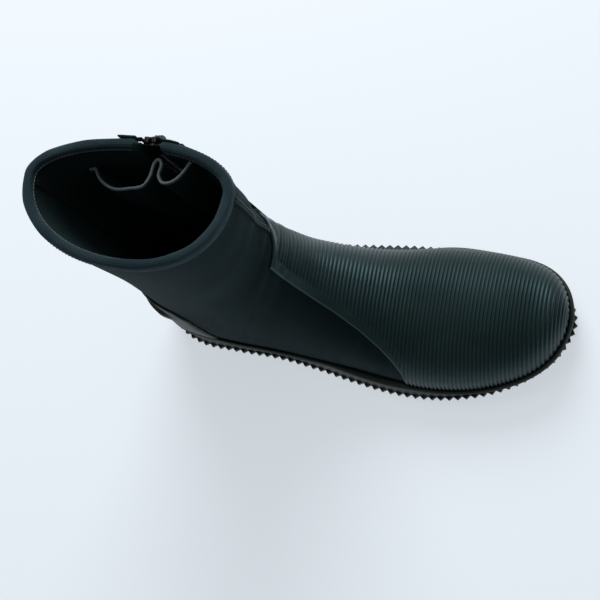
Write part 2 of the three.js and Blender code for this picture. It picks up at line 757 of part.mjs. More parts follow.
// The bellows behind the zip: a thin sheet on a folded path that closes to the wall at its foot.
const gussetDrop = 14; // its top edge is below the rim
const bindingHeight = 3;
const bindingThick = 2.4;
const gussetPath = new THREE.SplineCurve(
  [
    // across from the zip's middle line, and in from the tapes
    [50, 4],
    [43, 13],
    [36.5, 22.5],
    [28, 27],
    [16, 28.3],
    [6, 26.5],
    [1.6, 20],
    [0.2, 11],
    [-2.4, 8],
    [-5, 12],
    [-4.6, 19],
    [-8.5, 24.3],
    [-15, 23.4],
    [-21, 17],
    [-27, 5],
  ].map(([x, y]) => new THREE.Vector2(x, y)),
);
const gussetFoot = 0.1 * zipLength;
const footNarrow = 0.4; // the folds are narrower at the foot
function bellows(low, high, thick, rows) {
  const turns = 52;
  const points = [];
  const faces = [];
  for (const side of [-0.5, 0.5])
    for (let i = 0; i <= rows; i++) {
      const y = THREE.MathUtils.lerp(low, high, i / rows);
      const open = THREE.MathUtils.smoothstep(y, gussetFoot - 10, zipLength - gussetDrop);
      const spread = THREE.MathUtils.lerp(footNarrow, 1, open);
      for (let j = 0; j <= turns; j++) {
        const p = gussetPath.getPointAt(j / turns);
        const t = gussetPath.getTangentAt(j / turns);
        const depth = THREE.MathUtils.lerp(neoprene + 2, p.y, open) - side * thick * t.x;
        points.push(new THREE.Vector3(p.x * spread + side * thick * t.y, y, -depth));
      }
    }
  const at = (side, i, j) => (side * (rows + 1) + i) * (turns + 1) + j;
  for (let i = 0; i < rows; i++) {
    for (let j = 0; j < turns; j++) {
      faces.push(...quad(at(0, i, j), at(0, i, j + 1), at(0, i + 1, j + 1), at(0, i + 1, j)));
      faces.push(...quad(at(1, i, j), at(1, i + 1, j), at(1, i + 1, j + 1), at(1, i, j + 1)));
    }
    faces.push(...quad(at(0, i, 0), at(0, i + 1, 0), at(1, i + 1, 0), at(1, i, 0)));
    faces.push(...quad(at(0, i, turns), at(1, i, turns), at(1, i + 1, turns), at(0, i + 1, turns)));
  }
  for (let j = 0; j < turns; j++) {
    faces.push(...quad(at(0, 0, j), at(1, 0, j), at(1, 0, j + 1), at(0, 0, j + 1)));
    faces.push(...quad(at(0, rows, j), at(0, rows, j + 1), at(1, rows, j + 1), at(1, rows, j)));
  }
  const sheet = onBoot(solid(points, faces)).intersect(filled(-neoprene - seamTape - 2 * glueGap));
  const pieces = sheet.decompose().sort((a, b) => b.volume() - a.volume());
  return pieces[0];
}

function gusset() {
  return bellows(gussetFoot, zipLength - gussetDrop - glueGap, gussetThick, 6);
}

function gussetBinding() {
  return bellows(zipLength - gussetDrop, zipLength - gussetDrop + bindingHeight, bindingThick, 1);
}

// ---- Materials ----
function finish(color, roughness, metalness = 0) {
  return new THREE.MeshStandardMaterial({ color, roughness, metalness });
}
const jersey = finish("#22292c", 0.92);
const hemJersey = finish("#3c4c54", 0.9);
const ribbedRubber = finish("#232a29", 0.38);
const soleRubber = finish("#2a2e2e", 0.6);
const foam = finish("#3c4043", 0.85);
const webbing = finish("#1d1f21", 0.8);
const overlock = finish("#a9b6be", 0.9);
const plastic = finish("#17191b", 0.45);

// ---- Assembly ----
const boot = new THREE.Group();
function add(name, made, material, parent = boot) {
  const mesh = new THREE.Mesh(geometryOf(made), material);
  mesh.name = name;
  parent.add(mesh);
  return mesh;
}

add("outsole", outsole(), soleRubber);
add("midsole", midsole(), foam);
add("rand", rand(), soleRubber);
add("heel_patch", heelPatch(), soleRubber);
add("ribbed_vamp", ribbedVamp(), ribbedRubber);
add("sock_sole", sockSole(), jersey);
add("insole", insole(), foam);
add("outer_panel", outerPanel(), jersey);
add("inner_front_panel", innerFrontPanel(), jersey);
add("inner_heel_panel", innerHeelPanel(), jersey);
add("cuff_hem", cuffHem(), hemJersey);
add("front_seam_tape", frontSeamTape(), jersey);
add("back_seam_tape", backSeamTape(), webbing);
add("gusset", gusset(), jersey);
add("gusset_binding", gussetBinding(), overlock);
add("hem_tab_front", hemTab(-1), webbing);
add("hem_tab_rear", hemTab(1), webbing);

const zip = new THREE.Group();
zip.applyMatrix4(zipMatrix);
boot.add(zip);
add("zip_tape_front", zipTape(-1), webbing, zip);
add("zip_tape_rear", zipTape(1), webbing, zip);
add("zip_teeth_front", toothRow(-1), plastic, zip);
add("zip_teeth_rear", toothRow(1), plastic, zip);
add("zip_top_stop_front", topStop(-1), plastic, zip);
add("zip_top_stop_rear", topStop(1), plastic, zip);
add("zip_bottom_stop", bottomStop(), plastic, zip);
add("zip_foot_patch", footPatch(), soleRubber, zip);
add("zip_slider", slider(), plastic, zip);
add("zip_pull_tab", pullTab(), plastic, zip).position.set(0, pinUp, pinHeight);

// The origin is on the ground under the middle of the boot.
const bounds = new THREE.Box3().setFromObject(boot, true);
const middle = bounds.getCenter(new THREE.Vector3());
boot.position.set(-middle.x, -middle.y, 0);

export default boot;
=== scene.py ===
import json
import math
import bpy
import bmesh
import numpy as np
from mathutils import Matrix, Vector
from mathutils.bvhtree import BVHTree


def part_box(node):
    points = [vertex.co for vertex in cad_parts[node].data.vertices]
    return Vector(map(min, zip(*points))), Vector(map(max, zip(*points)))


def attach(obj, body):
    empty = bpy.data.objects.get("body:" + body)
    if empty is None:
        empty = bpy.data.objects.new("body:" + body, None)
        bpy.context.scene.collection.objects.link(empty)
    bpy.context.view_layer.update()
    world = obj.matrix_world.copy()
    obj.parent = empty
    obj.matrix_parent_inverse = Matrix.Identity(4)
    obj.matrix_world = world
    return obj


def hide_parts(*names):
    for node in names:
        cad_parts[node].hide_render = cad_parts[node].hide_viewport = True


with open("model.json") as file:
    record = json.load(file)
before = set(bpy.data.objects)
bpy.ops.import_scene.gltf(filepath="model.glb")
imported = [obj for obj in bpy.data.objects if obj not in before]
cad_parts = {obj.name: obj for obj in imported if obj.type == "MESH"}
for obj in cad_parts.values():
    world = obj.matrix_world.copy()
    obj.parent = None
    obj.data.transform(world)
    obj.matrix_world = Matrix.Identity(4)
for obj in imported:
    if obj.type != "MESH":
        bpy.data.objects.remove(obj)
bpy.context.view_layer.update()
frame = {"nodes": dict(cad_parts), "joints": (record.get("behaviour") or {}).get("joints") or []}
mm = 0.001
scene = bpy.context.scene

# camera: high over the outer side of the foot, rolled a little
camera = {
    "place": (0.3308, -0.3299, 1.0837),
    "right": (0.945878, 0.177321, -0.271796),
    "back": (0.313552, -0.283428, 0.906285),
    "lens": 100.1,
}


def makeCamera():
    data = bpy.data.cameras.new("camera")
    data.lens = camera["lens"]
    data.sensor_width = 36
    eye = bpy.data.objects.new("camera", data)
    right = Vector(camera["right"]).normalized()
    back = Vector(camera["back"]).normalized()
    up = back.cross(right)
    turn = Matrix((right, up, back)).transposed()
    eye.matrix_world = Matrix.Translation(camera["place"]) @ turn.to_4x4()
    scene.collection.objects.link(eye)
    scene.camera = eye


makeCamera()
print("camera placed")

# a smooth step from p1 to p2 with slopes v1 and v2
def hermite(p1, p2, v1, v2, t):
    return (2 * p1 - 2 * p2 + v1 + v2) * t**3 + (3 * (p2 - p1) - 2 * v1 - v2) * t**2 + v1 * t + p1


# distance run along a polyline at each of its points
def runLengths(path):
    return np.concatenate([[0], np.cumsum(np.linalg.norm(np.diff(path, axis=0), axis=1))])


# a polyline's values at distances along it
def pointsAt(at, lengths, path):
    return np.stack([np.interp(at, lengths, column) for column in path.T], axis=-1)


# the boot's surface: rings from the toe to the rim, the same rule as the frame's panels
boot = {
    "footLength": 288 * mm,
    "ballWidth": 98.5 * mm,
    "instepHeight": 84 * mm,
    "cuffHeight": 216 * mm,
    "cuffLength": 131 * mm,
    "cuffWidth": 83 * mm,
    "rimMiddle": 47.5 * mm,
    "rimDrop": 14 * mm,
    "rimInnerShare": 0.373,
    "rimWidest": 0.557,
    "backBow": 9 * mm,
    "toeTurn": 4.6 * mm,
    "crownPower": 2.1,
    "solePower": 1.7,
    "heelRing": 10,
    "neoprene": 5 * mm,
    "gap": 0.3 * mm,
    "wrinkle": 0.45 * mm,
    "ankleFold": 0.9 * mm,
    # ring, width and depth of each fold
    "folds": ((9.15, 0.2, 0.8), (9.75, 0.17, 1.0), (10.5, 0.22, 0.6), (12.2, 0.3, 0.35)),
}
half = boot["ballWidth"] / 2
gap = boot["gap"]
neoprene = boot["neoprene"]
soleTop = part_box("midsole")[1].z + gap
outerCuff = boot["cuffWidth"] * (1 - boot["rimInnerShare"])
hemProud = 0.8 * mm
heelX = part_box("inner_front_panel")[1].x - boot["footLength"]
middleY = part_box("cuff_hem")[0].y + outerCuff + hemProud

# ridge x, ridge z, keel x, keel z, outer half width, inner half width, share of the widest line
footRings = [
    (1.0, 0.214, 1.0, 0.19, 0.01, 0.01, 0.5),
    (0.993, 0.345, 0.991, 0.06, 0.32, 0.28, 0.42),
    (0.965, 0.452, 0.962, 0.012, 0.6, 0.54, 0.36),
    (0.91, 0.505, 0.903, 0, 0.835, 0.735, 0.33),
    (0.823, 0.525, 0.816, 0, 0.995, 0.855, 0.31),
    (0.719, 0.548, 0.705, 0, 1.035, 0.89, 0.3),
    (0.618, 0.612, 0.59, 0, 0.98, 0.8, 0.3),
    (0.531, 0.798, 0.469, 0, 0.88, 0.715, 0.32),
    (0.462, 1.0, 0.337, 0, 0.8, 0.665, 0.36),
    (0.415, 1.22, 0.215, 0, 0.771, 0.69, 0.42),
    (0.394, 1.45, 0.111, 0.006, 0.755, 0.675, 0.5),
    (0.386, 1.631, 0.031, 0.107, 0.755, 0.66, 0.55),
    (0.383, 1.786, 0.003, 0.44, 0.771, 0.65, 0.58),
]


def lastRings():
    length, height = boot["footLength"], boot["instepHeight"]
    scale = np.array([length, height, length, height, half, half, 1])
    rings = [np.array(ring) * scale + (0, soleTop, 0, soleTop, 0, 0, 0) for ring in footRings]
    ankle = rings[-1]
    rim = np.array([
        boot["rimMiddle"] + boot["cuffLength"] / 2,
        soleTop + boot["cuffHeight"] - boot["rimDrop"] / 2,
        boot["rimMiddle"] - boot["cuffLength"] / 2,
        soleTop + boot["cuffHeight"] + boot["rimDrop"] / 2,
        outerCuff,
        boot["cuffWidth"] * boot["rimInnerShare"],
        boot["rimWidest"],
    ])
    for share in (0.25, 0.5, 0.75, 1):
        ring = ankle + (rim - ankle) * share
        ring[2] += boot["backBow"] * math.sin(math.pi * share)
        rings.append(ring)
    return np.array(rings)


rings = lastRings()
lastRing = len(rings) - 1


def along(s):
    i = np.minimum(np.floor(s).astype(int), lastRing - 1)
    t = (s - i)[..., None]
    p0, p1, p2, p3 = (rings[np.clip(i + k, 0, lastRing)] for k in (-1, 0, 1, 2))
    return hermite(p1, p2, (p2 - p0) / 2, (p3 - p1) / 2, t)


# points of the sock's outer face: s from 0 at the toe to lastRing at the rim, a = 0 on the ridge
def skin(s, a):
    s, a = np.broadcast_arrays(np.asarray(s, float), np.asarray(a, float))
    a = (a + math.pi) % (2 * math.pi) - math.pi
    ridgeX, ridgeZ, keelX, keelZ, outer, inner, widest = np.moveaxis(along(s), -1, 0)
    foot = np.clip((boot["heelRing"] + 2 - s) / 3, 0, 1)
    cosine, sine = np.cos(a), np.sin(a)
    power = np.where(cosine >= 0, boot["crownPower"], boot["crownPower"] + boot["solePower"] * foot)
    wide = np.sign(sine) * np.abs(sine) ** (2 / power)
    high = np.abs(cosine) ** (2 / power)
    t = np.where(cosine >= 0, widest + (1 - widest) * high, widest * (1 - high))
    x = keelX + t * (ridgeX - keelX)
    turn = boot["toeTurn"] * np.clip((x / boot["footLength"] - 0.66) / 0.34, 0, 1) ** 1.6
    y = wide * np.where(a < 0, outer, inner) + turn
    z = keelZ + t * (ridgeZ - keelZ)
    return np.stack([x + heelX, y + middleY, z], axis=-1)


def unit(v):
    return v / np.maximum(np.linalg.norm(v, axis=-1, keepdims=True), 1e-12)


def skinNormal(s, a):
    step = 0.02
    low, high = np.maximum(s - step, 0), np.minimum(s + step, lastRing)
    alongS = skin(high, a) - skin(low, a)
    alongA = skin(s, a + step) - skin(s, a - step)
    return -unit(np.cross(alongS, alongA))


# how far the soft sock stands in or out: shallow waves all over and folds at the front of the ankle
def softness(s, a):
    waves = np.sin(1.7 * s + 1.1 * np.sin(2 * a)) * np.sin(2 * a + 0.8 * s)
    waves = waves + 0.5 * np.sin(3.1 * s - 3 * a) * np.cos(a)
    calm = np.clip(s / 2, 0, 1) * np.where(np.cos(a) < -0.3, np.clip((s - 9) / 3, 0, 1), 1)
    front = np.exp(-((np.abs((a + math.pi) % (2 * math.pi) - math.pi) / 1.05) ** 2))
    folds = sum(np.exp(-(((s - at) / wide) ** 2)) * depth for at, wide, depth in boot["folds"])
    return boot["wrinkle"] * waves * calm - boot["ankleFold"] * folds * front


def shell(s, a, distance):
    s, a = np.broadcast_arrays(np.asarray(s, float), np.asarray(a, float))
    return skin(s, a) + skinNormal(s, a) * (distance + softness(s, a))[..., None]


# for each s, the first angle from start towards stop at which test(points) changes sign
def crossing(s, test, start, stop, samples=361):
    a = np.linspace(start, stop, samples)
    values = test(skin(s[:, None], a[None, :]))
    change = np.signbit(values[:, :-1]) != np.signbit(values[:, 1:])
    first = np.argmax(change, axis=1)
    rows = np.arange(len(s))
    v0, v1 = values[rows, first], values[rows, first + 1]
    found = a[first] + (a[1] - a[0]) * v0 / np.where(v0 == v1, 1, v0 - v1)
    return np.where(change.any(axis=1), found, stop)


# ring position at a depth under the rim's plane
def belowRim(a, depth):
    a = np.asarray(a, float)
    slope = math.atan2(boot["rimDrop"], boot["cuffLength"])
    rise = skin(np.full_like(a, lastRing), a) - skin(np.full_like(a, lastRing - 1), a)
    return lastRing - depth / (rise @ np.array([math.sin(slope), 0, math.cos(slope)]))


def smooth(t, low=0.0, high=1.0):
    t = np.clip((t - low) / (high - low), 0, 1)
    return t * t * (3 - 2 * t)


# the zip's own frame, from the joints' axes: x across it towards the heel, y up, z outwards
joints = {joint["name"]: joint for joint in frame["joints"]}
zipUp = -unit(np.array(joints["zip_slide"]["axis"], float))
zipAcross = -unit(np.array(joints["pull_tab_hinge"]["axis"], float))
zipOut = np.cross(zipAcross, zipUp)
zipSizes = {
    "pinUp": 156.0 * mm,
    "pinHeight": 5.65 * mm,
    "length": 169.5 * mm,
    "slot": 6.7 * mm,
    "hemEdge": 7.7 * mm,
}
pin = np.array(joints["pull_tab_hinge"]["pos_m"])
zipOrigin = pin - zipUp * zipSizes["pinUp"] - zipOut * zipSizes["pinHeight"]


def zipLocal(p):
    p = p - zipOrigin
    return p @ zipAcross, p @ zipUp, p @ zipOut


def zipPoint(x, y, z):
    x, y, z = np.broadcast_arrays(x, y, z)
    return zipOrigin + x[..., None] * zipAcross + y[..., None] * zipUp + z[..., None] * zipOut


# a socket in an expression: the operators add Math nodes
class Value:
    def __init__(self, graph, node, socket):
        self.graph, self.node, self.socket = graph, node, socket

    def out(self, name):
        return Value(self.graph, self.node, self.node.outputs[name])

    def math(self, operation, *values):
        return self.graph.add("ShaderNodeMath", {"operation": operation}, *values)

    def __add__(self, other):
        return self.math("ADD", self, other)

    def __sub__(self, other):
        return self.math("SUBTRACT", self, other)

    def __rsub__(self, other):
        return self.math("SUBTRACT", other, self)

    def __mul__(self, other):
        return self.math("MULTIPLY", self, other)

    def __truediv__(self, other):
        return self.math("DIVIDE", self, other)

    def __pow__(self, other):
        return self.math("POWER", self, other)

    __radd__ = __add__
    __rmul__ = __mul__

    def sine(self):
        return self.math("SINE", self)

    def clamp(self):
        return self.math("MINIMUM", self.math("MAXIMUM", self, 0), 1)


class Graph:
    def __init__(self, tree):
        self.tree = tree

    def fill(self, socket, value):
        if isinstance(value, Value):
            self.tree.links.new(value.socket, socket)
        elif value is not None:
            socket.default_value = value

    # any node: its settings first, then its sockets by order or by name. Gives its first output
    def add(self, kind, settings=None, *values, **named):
        node = self.tree.nodes.new(kind)
        for name, value in (settings or {}).items():
            if name == "stops":
                for stop, (place, colour) in zip(node.color_ramp.elements, value):
                    stop.position, stop.color = place, colour
            else:
                setattr(node, name, value)
        for socket, value in zip(node.inputs, values):
            self.fill(socket, value)
        for name, value in named.items():
            self.fill(node.inputs[name.replace("_", " ")], value)
        shown = [socket for socket in node.outputs if socket.enabled]
        return Value(self, node, shown[0] if shown else None)


def newMaterial(name):
    material = bpy.data.materials.new(name)
    material.use_nodes = True
    material.node_tree.nodes.clear()
    g = Graph(material.node_tree)
    return material, g, g.add("ShaderNodeTexCoord").out("Object")


def mixColour(g, factor, first, second):
    node = g.add("ShaderNodeMix", {"data_type": "RGBA"}).node
    for socket, value in ((0, factor), (6, first), (7, second)):  # 6 and 7 are its colour sockets
        g.fill(node.inputs[socket], value)
    return Value(g, node, node.outputs[2])


def finishShader(g, colour, roughness, height=None, lift=0.1 * mm, **constants):
    shader = g.add("ShaderNodeBsdfPrincipled", None, Base_Color=colour, Roughness=roughness, **constants)
    if height is not None:
        bump = g.add("ShaderNodeBump", None, Strength=1.0, Distance=lift, Height=height)
        g.fill(shader.node.inputs["Normal"], bump)
    g.add("ShaderNodeOutputMaterial", None, Surface=shader)


def noise(g, where, scale, detail=3.0, roughness=0.55):
    return g.add("ShaderNodeTexNoise", None, Vector=where, Scale=scale, Detail=detail, Roughness=roughness)


def rgb(r, g, b):
    return (r, g, b, 1.0)


fabric = {"knit": 1.1 * mm, "rubbedScale": 28.0, "lintScale": 900.0, "relief": 0.16 * mm}


# nylon jersey on neoprene: rows of small knit loops, with pale rubbed patches and lint
def jerseyMaterial(name, dark, pale, sheen, knit=fabric["knit"]):
    material, g, where = newMaterial(name)
    cloth = g.add("ShaderNodeUVMap", {"uv_map": "cloth"})
    parts = g.add("ShaderNodeSeparateXYZ", None, cloth)
    u, v = parts.out("X"), parts.out("Y")
    turn = 2 * math.pi / knit
    wales = (u * turn + (v * (turn / 1.5)).sine() * 0.9).sine()
    courses = (v * turn).sine()
    weave = wales * 0.5 + courses * 0.25
    rubbed = noise(g, where, fabric["rubbedScale"], 4.0)
    lint = noise(g, where, fabric["lintScale"], 2.0)
    blotch = ((rubbed - 0.42) * 3.2).clamp()
    fleck = ((lint - 0.62) * 6).clamp()
    colour = mixColour(g, blotch * 0.55 + weave * 0.12, dark, pale)
    colour = mixColour(g, fleck * 0.3, colour, rgb(*(min(1, 2.2 * c) for c in pale[:3])))
    rough = 0.86 + rubbed * 0.12
    height = weave + lint * 0.8 + rubbed * 1.5
    finishShader(g, colour, rough, height, fabric["relief"], Sheen_Weight=sheen, Sheen_Roughness=0.45,
                 Sheen_Tint=rgb(0.5, 0.85, 1.0), Specular_IOR_Level=0.16, Specular_Tint=rgb(0.45, 0.85, 1.0))
    return material


mould = {"bloomScale": 22.0, "grainScale": 1400.0, "scratchScale": 160.0, "relief": 0.05 * mm}


# moulded rubber: fine mould grain, a dusty bloom in patches, and painted shade that darkens the grooves
# between ribs
def rubberMaterial(name, dark, pale, rough, tint, ribbed=False):
    material, g, where = newMaterial(name)
    bloom = noise(g, where, mould["bloomScale"], 5.0, 0.6)
    fine = noise(g, where, mould["grainScale"], 2.0)
    scratch = g.add("ShaderNodeTexNoise", None, Scale=mould["scratchScale"], Detail=2.0,
                    Vector=g.add("ShaderNodeMapping", None, Vector=where, Scale=(0.25, 1.0, 3.0)))
    dust = ((bloom - 0.45) * 2.6).clamp() * 0.6 + ((scratch - 0.6) * 3).clamp() * 0.3
    colour = mixColour(g, dust, dark, pale)
    roughness = rough + dust * 0.16 + fine * 0.06
    if ribbed:
        crest = g.add("ShaderNodeAttribute", {"attribute_name": "crest"}).out("Fac")
        # painted shade: the grooves between the ribs are mixed towards near-black, more where the crest is
        # lower
        colour = mixColour(g, (1 - crest) * 0.75, colour, rgb(0.003, 0.005, 0.005))
        roughness = roughness + (1 - crest) * 0.2
    finishShader(g, colour, roughness, fine + bloom * 0.8, mould["relief"], Specular_IOR_Level=0.45,
                 Specular_Tint=tint)
    return material


weave = {"twill": 5200, "threads": 9000, "relief": 0.08 * mm}  # radians of pattern in a metre


# woven tape: a fine diagonal twill
def webbingMaterial(name, dark, pale):
    material, g, where = newMaterial(name)
    parts = g.add("ShaderNodeSeparateXYZ", None, where)
    twill = (parts.out("X") * weave["twill"] + parts.out("Z") * weave["twill"]).sine() * 0.5 + 0.5
    threads = (parts.out("Z") * weave["threads"]).sine() * 0.25
    fuzz = noise(g, where, 700.0)
    colour = mixColour(g, (twill * 0.4 + fuzz * 0.5).clamp(), dark, pale)
    finishShader(g, colour, 0.82 + fuzz * 0.12, twill + threads + fuzz, weave["relief"], Sheen_Weight=0.06,
                 Specular_IOR_Level=0.15, Specular_Tint=rgb(0.5, 0.85, 1.0))
    return material


def threadMaterial(name, dark, pale):
    material, g, where = newMaterial(name)
    twist = noise(g, where, 2600.0, 1.0)
    colour = mixColour(g, twist, dark, pale)
    finishShader(g, colour, 0.7 + twist * 0.15, twist, 0.05 * mm, Sheen_Weight=0.3)
    return material


def plasticMaterial(name, dark, rough):
    material, g, where = newMaterial(name)
    wear = noise(g, where, 240.0, 4.0)
    colour = mixColour(g, ((wear - 0.55) * 3).clamp(), dark, rgb(0.05, 0.055, 0.06))
    finishShader(g, colour, rough + wear * 0.18, wear, 0.03 * mm)
    return material


def foamMaterial(name, dark, pale):
    material, g, where = newMaterial(name)
    cells = g.add("ShaderNodeTexVoronoi", None, Vector=where, Scale=1300.0)
    colour = mixColour(g, noise(g, where, 60.0), dark, pale)
    finishShader(g, colour, 0.9 - cells * 0.1, cells, 0.12 * mm)
    return material


materials = {
    "jersey": jerseyMaterial("jersey", rgb(0.0058, 0.0105, 0.0098), rgb(0.0165, 0.0270, 0.0270), 0.06),
    "lining": jerseyMaterial("lining", rgb(0.0110, 0.0185, 0.0170), rgb(0.0240, 0.0380, 0.0360), 0.05),
    "hem": jerseyMaterial("hem", rgb(0.0180, 0.0320, 0.0380), rgb(0.0440, 0.0700, 0.0820), 0.16, 1.3 * mm),
    "ribbed": rubberMaterial("ribbed", rgb(0.0125, 0.0250, 0.0225), rgb(0.0360, 0.0600, 0.0570), 0.32,
                             rgb(0.48, 0.88, 1.0), ribbed=True),
    "rubber": rubberMaterial("rubber", rgb(0.0100, 0.0115, 0.0095), rgb(0.0260, 0.0280, 0.0250), 0.5,
                             rgb(0.75, 0.92, 0.9)),
    "foam": foamMaterial("foam", rgb(0.008, 0.010, 0.011), rgb(0.02, 0.023, 0.025)),
    "webbing": webbingMaterial("webbing", rgb(0.0025, 0.0045, 0.0045), rgb(0.012, 0.018, 0.019)),
    "tab": webbingMaterial("tab", rgb(0.012, 0.024, 0.026), rgb(0.05, 0.08, 0.085)),
    "overlock": threadMaterial("overlock", rgb(0.060, 0.085, 0.090), rgb(0.170, 0.210, 0.215)),
    "stitch": threadMaterial("stitch", rgb(0.015, 0.024, 0.026), rgb(0.05, 0.07, 0.075)),
    "plastic": plasticMaterial("plastic", rgb(0.005, 0.006, 0.007), 0.28),
}
print("materials made")


def linked(name, mesh):
    piece = bpy.data.objects.new(name, mesh)
    scene.collection.objects.link(piece)
    return piece


# a closed piece from points and faces, with lengths over the cloth as its UV map
def newPiece(name, points, faces, material, uv=None):
    mesh = bpy.data.meshes.new(name)
    mesh.from_pydata([tuple(p) for p in np.asarray(points, float).reshape(-1, 3)], [], faces)
    if uv is not None:
        layer = mesh.uv_layers.new(name="cloth")
        loops = np.zeros(len(mesh.loops), np.int32)
        mesh.loops.foreach_get("vertex_index", loops)
        layer.data.foreach_set("uv", np.asarray(uv, np.float32).reshape(-1, 2)[loops].ravel())
    mesh.shade_smooth()
    piece = linked(name, mesh)
    mesh.materials.append(materials[material])
    faceOut(mesh)
    return piece


# turns a closed mesh right side out if its volume comes out negative
def faceOut(mesh):
    shape = bmesh.new()
    shape.from_mesh(mesh)
    if shape.calc_volume(signed=True) < 0:
        bmesh.ops.reverse_faces(shape, faces=shape.faces)
        shape.to_mesh(mesh)
    shape.free()


def gridFaces(rows, columns, base, around=False):
    i, j = np.meshgrid(np.arange(rows - 1), np.arange(columns if around else columns - 1), indexing="ij")
    a = base + i * columns + j
    b = base + i * columns + (j + 1) % columns
    return np.stack([a, b, b + columns, a + columns], axis=-1).reshape(-1, 4)


# faces of a tube of rings, with both ends closed
def tubeFaces(rows, columns):
    faces = gridFaces(rows, columns, 0, around=True).tolist()
    return faces + [list(range(columns))[::-1], list(range((rows - 1) * columns, rows * columns))]


# a closed solid between two grids of points that face each other
def sheetSolid(name, outer, inner, material, uv=None, liningMaterial=None):
    rows, columns = outer.shape[:2]
    count = rows * columns
    front = gridFaces(rows, columns, 0)
    back = gridFaces(rows, columns, count)[:, ::-1]
    edge = np.concatenate([
        np.arange(columns),
        np.arange(1, rows) * columns + columns - 1,
        (rows - 1) * columns + np.arange(columns - 2, -1, -1),
        np.arange(rows - 2, 0, -1) * columns,
    ])
    nextEdge = np.roll(edge, -1)
    rim = np.stack([edge, edge + count, nextEdge + count, nextEdge], axis=-1)
    faces = np.concatenate([front, back, rim]).tolist()
    both = None if uv is None else np.concatenate([uv.reshape(-1, 2)] * 2)
    points = np.concatenate([outer.reshape(-1, 3), inner.reshape(-1, 3)])
    piece = newPiece(name, points, faces, material, both)
    if liningMaterial:
        piece.data.materials.append(materials[liningMaterial])
        slots = np.zeros(len(faces), np.int32)
        slots[len(front):len(front) + len(back)] = 1
        piece.data.polygons.foreach_set("material_index", slots)
    return piece


# lengths in metres over a grid of points, for patterns that follow the surface
def clothMap(grid):
    across = np.zeros(grid.shape[:2])
    across[:, 1:] = np.cumsum(np.linalg.norm(np.diff(grid, axis=1), axis=2), axis=1)
    across -= across[:, grid.shape[1] // 2][:, None]
    down = np.zeros(grid.shape[:2])
    middle = grid[:, grid.shape[1] // 2]
    down[1:] = np.cumsum(np.linalg.norm(np.diff(middle, axis=0), axis=1))[:, None]
    return np.stack([across, down], axis=-1)


# keeps the result of a piece's modifiers as its plain mesh
def applyModifiers(piece):
    applied = bpy.data.meshes.new_from_object(piece.evaluated_get(bpy.context.evaluated_depsgraph_get()))
    piece.modifiers.clear()
    old = piece.data
    piece.data = applied
    bpy.data.meshes.remove(old)
    return piece


def modify(piece, kind, **settings):
    modifier = piece.modifiers.new(kind.lower(), kind)
    for name, value in settings.items():
        setattr(modifier, name, value)
    return applyModifiers(piece)


def bevelled(piece, width, segments=2, angle=35):
    return modify(piece, "BEVEL", width=width, segments=segments, limit_method="ANGLE",
                  angle_limit=math.radians(angle), harden_normals=False)


# a CAD node's shape with clean faces and rounded edges
def refined(node, name, width, material, segments=2):
    shape = bmesh.new()
    shape.from_mesh(frame["nodes"][node].data)
    bmesh.ops.remove_doubles(shape, verts=shape.verts, dist=1e-6)
    bmesh.ops.dissolve_limit(shape, angle_limit=math.radians(1), verts=shape.verts, edges=shape.edges)
    mesh = bpy.data.meshes.new(name)
    shape.to_mesh(mesh)
    shape.free()
    piece = linked(name, mesh)
    mesh.materials.clear()
    mesh.materials.append(materials[material])
    bevelled(piece, width, segments)
    piece.data.shade_smooth()
    piece.data.set_sharp_from_angle(angle=math.radians(40))
    return piece


def settle(piece, body, slot, *nodes):
    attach(piece, body)
    if nodes:
        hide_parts(*nodes)
    return piece


# a Geometry Nodes tree with named inputs
def newTree(name, inputs):
    tree = bpy.data.node_groups.new(name, "GeometryNodeTree")
    tree.interface.new_socket("Geometry", in_out="INPUT", socket_type="NodeSocketGeometry")
    for label, kind in inputs:
        tree.interface.new_socket(label, in_out="INPUT", socket_type="NodeSocket" + kind)
    tree.interface.new_socket("Geometry", in_out="OUTPUT", socket_type="NodeSocketGeometry")
    g = Graph(tree)
    return tree, g, g.add("NodeGroupInput")


def attribute(g, name, kind="FLOAT"):
    return g.add("GeometryNodeInputNamedAttribute", {"data_type": kind}, name).out("Attribute")


# a tree ends in real geometry with its material
def endTree(g, geometry, material):
    real = g.add("GeometryNodeRealizeInstances", None, geometry)
    g.add("NodeGroupOutput", None, g.add("GeometryNodeSetMaterial", None, real, Material=material))


# runs a tree on a piece with its inputs set, and keeps the result as a plain mesh
def runTree(piece, tree, **values):
    modifier = piece.modifiers.new("nodes", "NODES")
    modifier.node_group = tree
    for item in tree.interface.items_tree:
        if item.item_type == "SOCKET" and item.in_out == "INPUT" and item.name in values:
            modifier[item.identifier] = values[item.name]
    return applyModifiers(piece)


# raises round ribs at a pitch along the piece, inside its plain border
def ribTree():
    tree, g, given = newTree("ribs", [("Pitch", "Float"), ("Height", "Float"), ("Sharpness", "Float"),
                                      ("Border", "Float"), ("Material", "Material")])
    distance, edge = attribute(g, "travel"), attribute(g, "edge")
    phase = distance / given.out("Pitch") * (2 * math.pi)
    wave = (phase.math("COSINE", phase) * 0.5 + 0.5) ** given.out("Sharpness")
    inside = ((edge - given.out("Border")) / (1.2 * mm)).clamp()
    crest = wave * inside + (1 - inside) * 0.8
    lift = g.add("ShaderNodeVectorMath", {"operation": "SCALE"}, g.add("GeometryNodeInputNormal"),
                 Scale=crest * given.out("Height"))
    lifted = (edge / (0.9 * mm)).clamp()
    lift = g.add("ShaderNodeVectorMath", {"operation": "SCALE"}, lift, Scale=lifted)
    moved = g.add("GeometryNodeSetPosition", None, Geometry=given.out("Geometry"), Offset=lift)
    stored = g.add("GeometryNodeStoreNamedAttribute", {"data_type": "FLOAT", "domain": "POINT"},
                   Geometry=moved, Name="crest", Value=crest)
    endTree(g, stored, given.out("Material"))
    return tree


